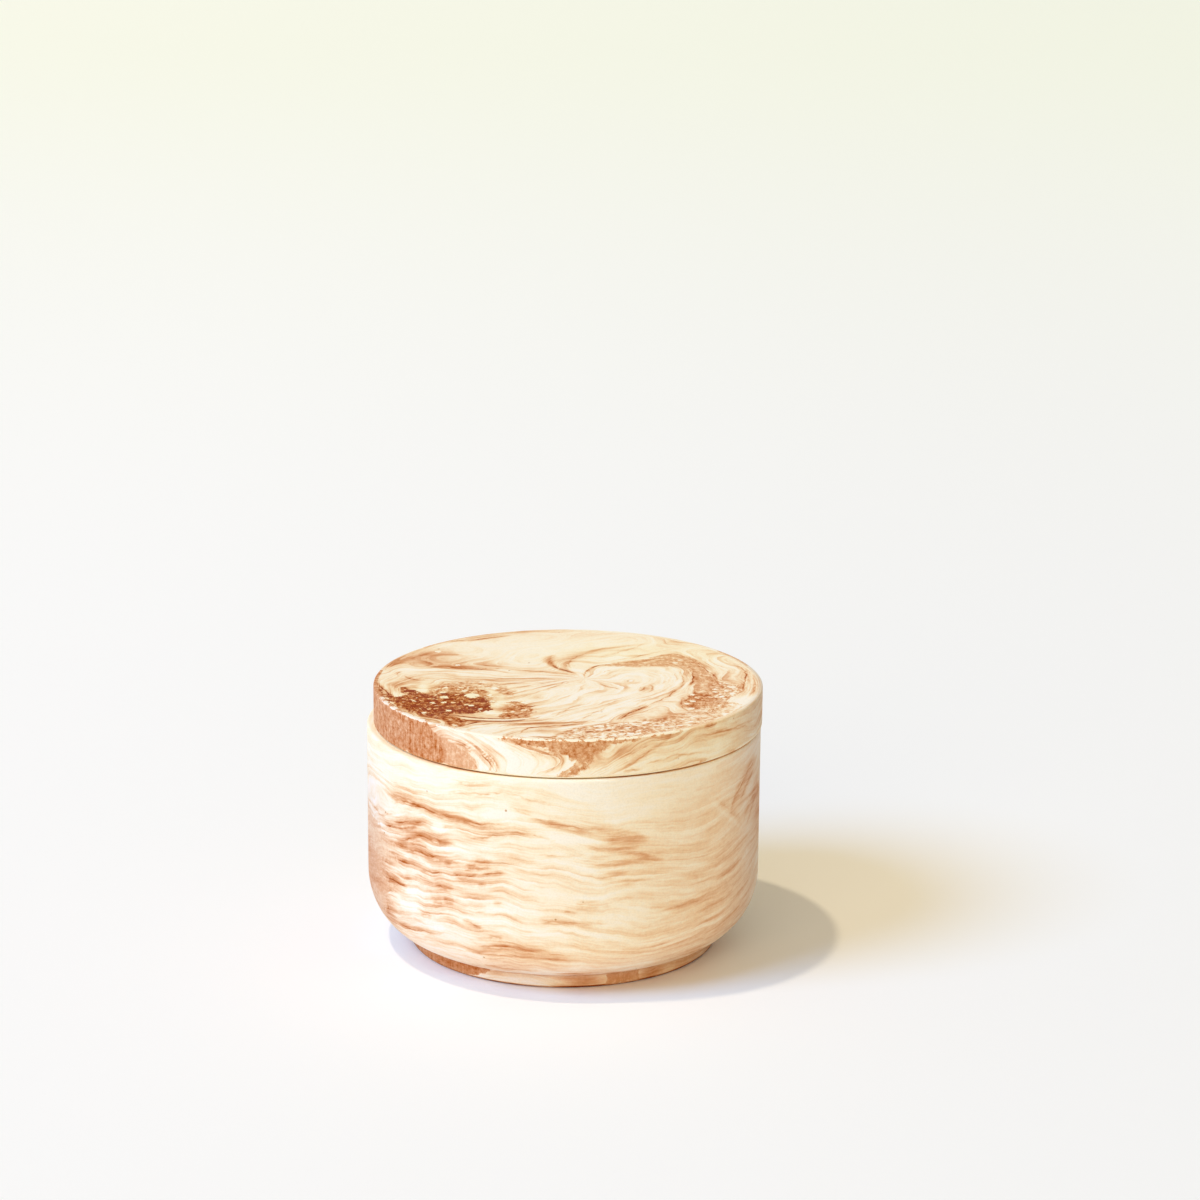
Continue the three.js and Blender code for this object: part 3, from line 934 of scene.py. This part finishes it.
edge_patches = [
    (0.64, 0.1, 1, 0, [(-100, 70), (-100, 70), (-52, 70), (-52, 70), (-53, 56), (-53, 56), (-126, 56),
        (-116, 58.4), (-120, 60.2), (-108, 62), (-111, 64.4), (-102, 66.4)]),
    (0.68, 0.1, 0.8, 0, [(-54, 70), (-54, 70), (-46, 68.4), (-43, 66.4), (-39.6, 65), (-37, 63),
        (-36.4, 60.5), (-37.4, 58), (-38.5, 56), (-54, 56), (-54, 56)]),
    (0.5, 0, 0.6, 0.3, [(-43, 66), (-40, 65.1), (-36.5, 64.1), (-32, 63.6), (-28.7, 62.2), (-26.8, 60.3),
        (-27, 58.6), (-28.7, 56), (-38.5, 56), (-37.6, 60), (-39.4, 64)]),
    (0.66, 0.25, 0, 0.3, [(-20, 66.5), (-20, 67.4), (-8, 69), (34, 69), (28, 67.3), (18, 66.7), (11.5, 66),
        (9.6, 64.6), (7.2, 63.4), (5.6, 62.2), (3.8, 61.4), (2, 61.2), (1.3, 61.9), (0.6, 63.1), (-1.8, 64.5),
        (-5, 65.3), (-10, 65.9)]),
    (0.56, 0.3, 0, 0.7, [(0.2, 63.4), (1.5, 61.9), (0.9, 60.7), (-1.6, 59.3), (-5.5, 57.7), (-9.5, 56.2),
        (-9.5, 56.2), (-2.4, 56.2), (-2.4, 56.2), (1.4, 58), (4.6, 59.9), (6.8, 61.7), (8.6, 63.6)]),
    (0.45, 0, 0.6, 0.3, [(192, 70), (207, 67.2), (216, 64.6), (212, 62.4), (224, 60), (220, 58), (229, 56),
        (246, 56), (238, 60), (241, 63), (230, 66), (232, 70)]),
    (0.45, 0, 0.8, 0, [(104, 70), (112, 65), (118, 62), (126, 60), (140, 59), (136, 62.5), (128, 66),
        (124, 70)]),
]

# Veins on top of the lid, in mm from its middle, to the right and to the back. All are drawn clockwise,
# with how far their colour fades outwards and inwards.
top_veins = [
    (0.42, 4.2, 0.9, [(-36, 12.6), (-30, 12.2), (-24, 11.9), (-17, 11.9), (-12, 10.8)]),
    (0.45, 1, 0.6, [(-17, 11.6), (-12, 10.2), (-6, 8.8), (0, 7.4), (3, 5)]),
    (0.4, 1.2, 0.8, [(-36, 12.8), (-30, 12.8), (-24, 12.4)]),
    (0.22, 2, 4, [(-36, 13), (-35.6, 17), (-36, 21), (-37, 25)]),
    (0.4, 2.2, 2.2, [(-39, 23), (-36.5, 25), (-33, 25), (-28, 24)]),
    (0.45, 1.6, 1.8, [(-46.5, 12), (-45, 16), (-43, 20), (-40.5, 23), (-38, 25)]),
    (0.45, 0.8, 0.8, [(-47.3, 11), (-45.5, 18), (-42.5, 24), (-39, 29.5), (-35, 34), (-30, 38.5)]),
    (0.4, 1.6, 1, [(-33, 36), (-29, 37.8), (-24, 39), (-20, 41), (-15, 43)]),
    (0.3, 0.9, 0.9, [(-24, 42.5), (-15, 46), (-6, 47.5)]),
    (0.3, 0.5, 0.5, [(-43.5, 5), (-43.6, 7), (-42.6, 8.6)]),
    (0.25, 0.5, 0.5, [(-36, 0.4), (-38.5, 0.8), (-40.5, 2.4), (-41.8, 5)]),
    (0.45, 0.9, 0.7, [(3, 5), (2, 7), (0, 9.4), (-2, 11), (-4, 14.5), (-5, 18), (-5, 21), (-4.2, 24)]),
    (0.36, 1.5, 1.5, [(-4.4, 15), (-5.3, 19), (-4.8, 22.5), (-3, 24.5)]),
    (0.28, 1.6, 1.2, [(0.4, 11), (0, 15), (-0.3, 18), (1, 22), (3.5, 25.5), (6, 28.5), (10, 31.5)]),
    (0.25, 1.4, 1, [(5, 27), (8, 30), (12, 32.5), (17, 34)]),
    (0.2, 1, 0.8, [(8, 22), (13, 27), (17, 31), (20, 35.5)]),
    (0.2, 0.7, 0.6, [(9, 18), (14, 20.5), (19, 24), (24, 28)]),
    (0.45, 0.6, 0.6, [(4, 4), (4.2, 8), (5.2, 10.4), (6.2, 13), (8, 15), (11, 15.8), (15, 16.2), (20, 18)]),
    (0.5, 2.2, 1.6, [(12, 15.6), (17, 16.6), (21, 18.2), (25, 20.2)]),
    (0.55, 3.4, 3, [(21, 18), (25, 20), (28.5, 20.5), (31, 17.5), (32.6, 14), (33.8, 9), (34.2, 4),
        (34, -2)]),
    (0.35, 0.6, 0.9, [(20, 20), (23, 22.8), (26, 25.2), (28.3, 25.4), (30.5, 23.5), (32.5, 19.5), (34, 15),
        (35.3, 10.5), (36.6, 7), (38, 3), (38.8, 0.6), (41, -0.6), (43.5, -1.6)]),
    (0.28, 0.8, 0.6, [(17, 13.4), (20, 14), (23, 15), (25.5, 15.6), (28, 15.2), (30, 13.8), (31.4, 11),
        (32, 7), (31.9, 3), (31.4, -2), (30.8, -6), (30.2, -9)]),
    (0.3, 1.2, 1.2, [(29, 22), (31, 19), (32.5, 16), (33.2, 12)]),
    (0.45, 2.6, 2.6, [(36.5, 2), (36, -3), (38, -6), (35, -10), (33, -14)]),
    (0.5, 3.2, 3.2, [(33, -9), (32, -14), (31.4, -19), (31, -23)]),
    (0.35, 0.7, 0.7, [(30.5, -25.6), (28.8, -24), (28, -20), (28.4, -16), (29, -12)]),
    (0.45, 0.8, 0.8, [(36.5, -12), (35.2, -17), (34.4, -21), (33, -23.6), (30.5, -25.6)]),
    (0.35, 0.7, 0.6, [(32, -17), (34, -21)]),
    (0.4, 0.7, 1.4, [(40, 18), (41.5, 17), (43, 15.4), (44.4, 13.4), (45, 11), (45.2, 7), (45, 3), (44.4, -1),
        (43.8, -5), (43, -9), (41.5, -12)]),
    (0.35, 0.7, 0.7, [(41.5, -10), (40.2, -13), (38.6, -16.4), (36.6, -19), (35, -22), (33, -25)]),
    (0.25, 1.6, 1.2, [(47.4, 8), (47.8, 4), (47.8, -2), (47, -8), (45.6, -12)]),
    (0.25, 0.5, 0.5, [(27.6, 12), (28.7, 9), (29.2, 5), (29.4, 1), (28.8, -3), (28, -6)]),
    (0.25, 0.5, 0.5, [(20.4, -2), (21.4, -4), (21.2, -7), (20, -10)]),
    (0.35, 0.6, 0.6, [(27.6, -6), (26.4, -9), (25.2, -12), (23.6, -15), (21.6, -17.6), (19.6, -20)]),
    (0.45, 0.8, 1.4, [(20, -19.6), (18.4, -22), (16.4, -24.6), (14.6, -27.4), (13, -30.4), (11.8, -32.2)]),
    (0.2, 0.6, 0.6, [(22, -12), (19, -15), (15, -18)]),
    (0.2, 0.9, 0.9, [(10, -21), (7.6, -25), (5.4, -28), (4.2, -31), (3, -33)]),
    (0.22, 0.9, 0.9, [(5, -19), (2, -21), (0, -23), (-2, -27), (-3, -30)]),
    (0.25, 1.2, 1.2, [(19.4, -4), (19, -6.4), (17.6, -8.4)]),
    (0.3, 0.5, 0.5, [(7.8, -1), (9, -3.4), (11, -5), (13.4, -6.6)]),
    (0.25, 0.5, 0.5, [(8.8, 8), (9.6, 9.6), (11, 11)]),
    (0.45, 1, 1, [(28, -28.4), (26, -30), (23, -31.8), (21, -33.4), (18.6, -34.8), (16, -36)]),
    (0.5, 1.1, 0.8, [(39.4, -15), (37, -18.4), (35.2, -20.6), (33.6, -23), (31, -25.6), (28, -28.4)]),
    (0.4, 0.8, 0.6, [(16, -36), (11, -35.6), (8, -36.4), (5, -38), (2.6, -40.2)]),
    (0.6, 1.2, 0.9, [(5, -38), (3, -40), (0.6, -42.4), (-1.6, -43.8), (-3, -45.2), (-2.4, -47.4)]),
    (0.45, 0.6, 0.6, [(-2.4, -47.4), (-6, -47), (-10, -46.4)]),
    (0.4, 3.5, 3.5, [(38, -26), (31, -33), (24, -38), (15, -41), (7, -42.4), (0, -45)]),
    (0.75, 0.5, 0.4, [(-13.3, -32.1), (-16.7, -32.1), (-22.5, -31.5), (-25.8, -30.1), (-30.4, -29.2)]),
    (0.7, 0.45, 0.4, [(-5.8, -29.2), (-8.3, -31.6), (-12, -33.4), (-16.7, -34.3), (-22.5, -33.7),
        (-26.2, -33.1), (-28.3, -34.2), (-32, -33.3)]),
    (-0.25, 0.5, 0.5, [(-12, -32.9), (-16.7, -33.2), (-22.5, -32.6), (-26.5, -31.6), (-30, -31.4)]),
    (0.45, 0.4, 0.4, [(8.3, -33.9), (0, -35), (-8.3, -35.8), (-15, -36), (-19.2, -36.7)]),
    (0.46, 0.5, 0.5, [(5, -35), (1.7, -36.7), (-3.3, -37.5), (-8.3, -38.8), (-10.8, -40.8), (-11.7, -44.2)]),
    (0.46, 0.5, 0.5, [(8.3, -33.3), (1.7, -34.6), (-6.7, -35.8), (-15, -37.1), (-18.3, -39.6)]),
    (0.28, 3, 3, [(-2, -40), (-5, -41.4), (-8, -42.4)]),
    (0.22, 0.5, 0.5, [(-8, -36.6), (-12, -37), (-15, -38), (-16, -40)]),
    (0.55, 5, 5, [(-24, -25), (-30, -25), (-36, -20), (-39, -15)]),
    (0.55, 4.5, 4.5, [(-20, -20), (-26, -19), (-32, -18), (-38, -22)]),
    (0.4, 4.5, 4.5, [(-22, -10), (-28, -9), (-31, -12)]),
    (0.5, 3, 3, [(-31, -33), (-34, -28), (-37, -25), (-40, -20)]),
    (0.4, 1, 1, [(-34.4, -13), (-34, -9), (-32.4, -6), (-30, -4), (-27, -3.2), (-24, -4)]),
    (0.5, 1.3, 1.3, [(-39.6, -12), (-40.8, -9), (-41.6, -5)]),
    (0.6, 0.7, 0.8, [(-38, -31), (-40, -28), (-41.4, -24), (-43, -18), (-44.4, -14), (-45.4, -10),
        (-46.8, -6), (-48.8, 0)]),
    (0.45, 1.8, 1.8, [(-27, -38), (-29, -35), (-29.6, -32)]),
    (0.5, 0.8, 0.9, [(-21, -34.4), (-23, -35.2), (-25, -37.4), (-26.4, -38.6)]),
    (0.35, 2.2, 2.2, [(-8.6, -30), (-10, -32)]),
    (0.45, 3, 3.2, [(-12, -18), (-13, -23), (-13.6, -28), (-14, -30)]),
    (0.3, 1.4, 1.4, [(-12, -21), (-12.6, -25), (-13.4, -29)]),
    (0.2, 0.4, 0.4, [(-22, 1.5), (-12, 2.6), (-5, 3.2), (1, 3.8)]),
    (0.24, 0.4, 0.4, [(-19, -3.5), (-11, -0.6), (-4, 1.7), (1.5, 3)]),
    (0.22, 0.4, 0.4, [(-17, -8), (-10, -3.6), (-3, 0.4), (2, 2.6)]),
    (0.2, 0.4, 0.4, [(-15.5, -12), (-9, -6.4), (-3, -1.6), (2, 2)]),
    (0.18, 0.4, 0.4, [(-13.5, -16), (-8, -9.4), (-3, -4), (1.6, 1)]),
    (-0.14, 0.8, 0.8, [(-16.2, -9), (-16.6, -16), (-17.6, -22), (-18.6, -27), (-21, -29.8), (-27, -29.4)]),
    (-0.35, 1.4, 1.4, [(-36.6, -2), (-36.6, -7), (-36.2, -11)]),
    (-0.3, 1.6, 1.6, [(-44, -15), (-44.4, -9), (-45, -4)]),
    (-0.25, 1.5, 1.5, [(-43, -24), (-40, -31), (-36, -36)]),
    (-0.3, 1, 1, [(-20, -37.4), (-24, -39)]),
]
top_stains = [
    (-20, 2, 18, 3.5, 0.1), (-25, -2, 10, 4, 0.12), (-22, 7, 16, 2.6, -0.1), (-12, 32, 26, 11, -0.08),
    (20, 30, 18, 8, 0.04), (10, -3, 14, 10, -0.02), (-30, -18, 13, 12, 0.12), (-12, -24, 5, 9, 0.1),
    (-41, 14, 3, 7, -0.12), (40, 9, 4, 6, -0.06), (38, -28, 8, 10, 0.06), (15, -42, 22, 6, 0.1),
    (-20, -42, 14, 5, -0.08), (34, -14, 6, 10, 0.08), (2, 44, 30, 5, 0.03), (-37, 20, 7, 8, 0.24),
    (-36, 28, 5, 6, 0.1), (-36, 17, 4, 4, 0.06), (-28, 17, 10, 4, -0.02), (-4, 8, 6, 3, -0.1),
    (-20, -10, 5, 4, 0.06), (-44, -6, 3, 8, 0.18), (-25, -33, 8, 4, 0.18), (-35, -30, 6, 6, 0.18),
    (-43, -2, 5, 16, 0.1), (-20, -25, 5, 4, 0.18), (-12, -15, 4, 5, -0.06), (-12, -33, 5, 3, 0.08),
    (44, -16, 5, 6, -0.16), (12, -15, 6, 5, -0.16), (23, 16, 6, 3, 0.2), (28, -18, 5, 5, -0.14),
    (12, 32, 7, 4, -0.08), (4, -9, 5, 4, -0.14), (4, -32, 8, 4, -0.2), (10, -24, 7, 4, -0.12),
    (44, 0, 3, 4, -0.14), (45, -10, 3, 5, 0.12), (-20, 15.4, 6, 3, 0.14), (0, 0, 8, 3, 0.04),
    (-36, -32, 4, 4, 0.14), (28, -24, 5, 4, 0.12), (-36, 0, 4, 4, 0.08), (44, 0, 3, 4, -0.08),
    (-4, 0, 5, 3, -0.1), (36, 8, 3, 4, -0.08), (-28, -32, 3, 3, -0.08),
]
top_patches = [
    (0.99, 0.9, 0, 0.25, [(-42.1, -4.6), (-40, -7.5), (-37.5, -8.3), (-35, -12.1), (-33.5, -10.5),
        (-30, -9.6), (-25, -10.4), (-21.5, -13), (-19, -16), (-18.5, -20), (-19.6, -24.6), (-22.1, -27.8),
        (-28.2, -28), (-30, -30.6), (-32.3, -33), (-34.2, -30.6), (-37.5, -27.4), (-40.8, -24),
        (-43.8, -18.6), (-46.5, -12.5), (-48.7, -7.5), (-46.7, -7.5), (-44.2, -12.5), (-42.1, -15.4),
        (-41.3, -11.7)]),
    (1.12, 0.7, 0, 0.2, [(-41, -19.4), (-34, -18.6), (-27, -19.4), (-19.2, -19), (-18.6, -23.6),
        (-21.2, -27.4), (-28.2, -27.8), (-32.6, -31), (-37.5, -27)]),
    (0.64, 1, 0, 0.4, [(-34.8, -11), (-34.8, -7.5), (-32.1, -3.8), (-29.2, -2.5), (-25, -3.3), (-21.4, -6.3),
        (-18.6, -12.3), (-18.2, -17.6), (-19.8, -18), (-22, -13), (-28, -9.5)]),
    (0.5, 0.8, 0, 1.1, [(-33, -3.6), (-30, -0.8), (-25, 0), (-19, -1.6), (-14.5, -5.5), (-12.4, -10),
        (-14, -14), (-17.5, -10), (-21, -5), (-25, -2.6), (-29.2, -2)]),
    (0.84, 0.5, 0, 0.4, [(-33.4, -29.6), (-30, -29), (-27.4, -31), (-25.4, -33.4), (-24, -36), (-26, -38.6),
        (-28.4, -37.4), (-29.6, -34.6)]),
    (0.74, 0.8, 0, 0.8, [(-14.6, -18.4), (-13, -16.8), (-11.4, -18), (-9.8, -20), (-9, -23.4), (-8.8, -27),
        (-10.4, -30), (-13, -32), (-15.4, -32.1), (-16.5, -30), (-15.8, -25.6), (-15.2, -21.4)]),
    (0.54, 0.24, 0, 0.6, [(9.3, 15.8), (15, 18.2), (20.8, 21.2), (25.4, 26), (28.8, 25.4), (31.7, 22.1),
        (34, 16.7), (35.2, 11.5), (36.4, 6), (37.6, 1.6), (38.4, -1), (37, -5), (35, -8), (31.5, -8),
        (31.8, -4), (32, 1), (31.8, 6), (31, 10.8), (29, 13.8), (25, 15), (18.3, 13.8), (11.7, 13.2)]),
    (0.56, 1, 0, 0.6, [(37.4, 0.6), (41.4, -1.6), (43.6, -4), (43, -8), (41.4, -11.5), (39.4, -14.5),
        (37.6, -18), (36, -16), (35.6, -11), (35, -6), (36.4, -2)]),
    (0.7, 0.6, 0, 0.6, [(31, -9), (33, -8.6), (35.6, -8), (37, -12), (37.1, -17), (35, -20.8), (32.5, -24.2),
        (30, -24.6), (28.2, -20.8), (28, -17), (30, -13)]),
    (0.6, 0.22, 0, 0.6, [(21, 18.8), (25, 21.8), (28.8, 21.2), (31.2, 18), (33, 13), (34.2, 8), (34.8, 3),
        (34.6, -3), (33, -3), (33, 2), (32.4, 8), (31, 12.4), (28.5, 16.2), (25, 17.4)]),
    (0.51, 1.15, 0, 1, [(-4, -46.5), (-1.7, -43.3), (1.7, -40), (6.7, -37.1), (12.5, -35), (16.7, -34.2),
        (21.7, -32.1), (25, -30), (28, -33), (27, -41), (21, -45.5), (10, -50), (0, -51), (-4, -50)]),
    (0.46, 0.6, 0, 1.2, [(22, -32.2), (26.7, -28.3), (31.7, -24.2), (35.4, -19.6), (38.2, -16.6), (41, -16),
        (43.5, -20), (39, -31), (31, -39), (24, -44), (22, -38)]),
]
# Air bubbles on top: the place of each and its radius, in mm.
top_bubbles = [
    (-24, -12.7, 2), (-31, -14, 1.1), (-38.3, -17.5, 0.7), (-30.8, -18.4, 0.8), (-24, -21, 0.7),
    (-29.4, -25.4, 0.7), (-35.4, -27.4, 0.7), (-19, -17.3, 0.7), (-21.6, -24, 0.7), (-34, 27, 0.9),
    (-28.5, 14.6, 0.7), (27.6, 17.6, 0.7), (28.8, 20, 0.6), (31, -11, 0.9), (31, -16.5, 0.9),
    (30.6, -22.6, 0.8), (41.4, -4, 1), (37, -8.4, 0.8), (8, -38, 0.9), (-33.6, -19, 0.7),
]

# Lines that only lead the layers on the lid: they fan out from the eye of the swirl and turn clockwise.
top_guides = [
    [(-42, 5), (-34, 6.5), (-20, 6.5), (-8, 5.5), (0, 4.8)],
    [(-40, 0), (-30, 3), (-18, 4), (-8, 4), (0, 4)],
    [(-30, -6), (-20, 0), (-10, 2.5), (-1, 3.6)],
    [(-24, -16), (-16, -6), (-8, -0.5), (0, 3)],
    [(-17, -22), (-14, -12), (-8, -5), (0, 1.5)],
    [(2.5, 1), (-1, -8), (-6, -18), (-9, -28)],
    [(3.5, 0), (2, -10), (-1, -22), (-5, -32)],
    [(5, 0), (7, -8), (5, -18), (1, -28)],
    [(6, 1), (12, -4), (14, -10), (10, -20), (5, -29)],
    [(7, 3), (16, 0), (20, -6), (17, -14), (10, -25), (6, -31)],
    [(8, 5), (19, 5), (25, 0), (24, -9), (17, -20), (9, -32)],
    [(8, 7.5), (20, 9), (28, 6), (28.5, -2), (25, -12), (18, -24), (12, -33)],
]

edge_veins += stray_veins(seed=5, count=34, angles=(74, 272), heights=(58.5, 67), lengths=(6, 30))
x, y, z, radius, angle, edge_places, wall_scale, girth = unrolled(lid, lid_radius, lid_centre)
top_places = np.stack([x, y], 1)
flat_scale = np.array([1.0, 1.0])
base_depth = 0.16
edge_vein_depth, edge_away, edge_line, edge_inside = lay_veins(edge_places, edge_veins, wall_scale, girth)
edge_patch, edge_looks = lay_patches(edge_places, edge_patches, wall_scale, girth)
edge_depth = base_depth + lay_stains(edge_places, edge_stains, wall_scale, girth)
# Painted shade: the lid's lowest edge, in the seam over the bowl's rim, is coloured deeper.
edge_depth += 0.9 * (1 - soft_step(z, lid_seat + 0.02, lid_seat + 0.3)) * soft_step(radius, 47.6, 48.6)
edge_flow = layer_height(edge_places, edge_veins, wall_scale, spread=(5.0, 3.5), level=(0, 1), girth=girth)
top_vein_depth, top_away, top_line, top_inside = lay_veins(top_places, top_veins, flat_scale)
top_patch, top_looks = lay_patches(top_places, top_patches, flat_scale)
top_depth = base_depth + lay_stains(top_places, top_stains, flat_scale)
leading = top_veins + [(0, 1, 1, guide) for guide in top_guides]
top_flow = layer_height(top_places, leading, flat_scale, spread=(6.0, 6.0), level=(0, 0))

# At the eye of the swirl the layers stand like a fan: they climb most of the way round and fall back.
eye_spot = (4.0, 3.0)
fan_height = 18
fan_start = 230
fan_climb = 265
fan_fall = 360 - fan_climb
from_eye = np.hypot(x - eye_spot[0], y - eye_spot[1])
past_low = (np.degrees(np.arctan2(y - eye_spot[1], x - eye_spot[0])) - fan_start) % 360
climbing = 0.5 - 0.5 * np.cos(pi * past_low / fan_climb)
falling = 0.5 + 0.5 * np.cos(pi * (past_low - fan_climb) / fan_fall)
fan_flow = fan_height * np.where(past_low < fan_climb, climbing, falling)
ring = (from_eye > 6) & (from_eye < 11) & (z > lid_top - 0.1)
fan_flow += (top_flow - fan_flow)[ring].mean()
fan = np.exp(-((from_eye / 9) ** 2))
top_flow = top_flow * (1 - fan) + fan * fan_flow

on_top = soft_step(z, lid_top - 0.5, lid_top - 0.02)
on_top = on_top * (1 - soft_step(radius, lid_radius - 1.8, lid_radius - 0.2))
below = 1 - soft_step(z, lid_seat, lid_seat + 0.5)
on_edge = (1 - on_top) * (1 - below)


def share(top, edge, under):
    return top * on_top + edge * on_edge + under * below


def either(top, edge):
    return np.where(on_top > 0.5, top, edge)


pale = np.zeros(len(x))
for bubble_x, bubble_y, size in top_bubbles:
    pale = np.maximum(pale, 1 - soft_step(np.hypot(x - bubble_x, y - bubble_y) / size, 0.7, 1.25))
rim_chips = soft_step(radius, 46.8, 48.9) * soft_step(z, lid_top - 0.7, lid_top - 0.15)
rim_chips = rim_chips * soft_step(angle, -82, -70) * (1 - soft_step(angle, 30, 50))
calm_spots = [(-12, 32, 32, 17, -1.0), (20, 44, 26, 8, -0.5), (-34, 20, 8, 7, -0.6)]
top_streaky = 1.15 + lay_stains(top_places, calm_spots, flat_scale)
edge_spots = [(-16, 62, 24, 9, 0.3), (62, 62, 32, 20, -0.6)]
edge_streaky = 1.0 + lay_stains(edge_places, edge_spots, wall_scale, girth)
edge_rosy = 0.5 + lay_stains(edge_places, [(-60, 62, 40, 20, 0.7)], wall_scale, girth)
top_rosy = 0.7 + lay_stains(top_places, [(-30, -17, 16, 14, -0.5), (20, 26, 30, 14, -0.3)], flat_scale)
store(
    lid,
    depth=share(top_depth, edge_depth, deep_depth(x, y, z)),
    vein=share(levelled(top_vein_depth, 0.62, 0.72), levelled(edge_vein_depth, 0.48, 0.7), 0.0),
    inside=either(top_inside, edge_inside),
    flow=share(top_flow + lid_top, edge_flow, deep_swirl(x, y, z)),
    streaky=share(top_streaky, edge_streaky, 0.6),
    away=either(top_away, edge_away),
    line=share(1.3 * top_line, edge_line, 0.0),
    patch=either(top_patch, edge_patch) - 3 * below,
    pale=np.maximum(pale * on_top, 0.66 * rim_chips),
    rosy=share(top_rosy, np.clip(edge_rosy, 0, 1), 0.4),
    # Painted shade round the lid's right side, and a little on its left.
    dusk=(side_shade(angle, 46, 76) + 0.22 * side_shade(-angle, 34, 60)) * on_edge,
)
store_looks(lid, either(top_looks, edge_looks))

lid.data.materials.append(marbled_stone("marbled_stone_lid", 370))
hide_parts("lid")
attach(lid, "lid")
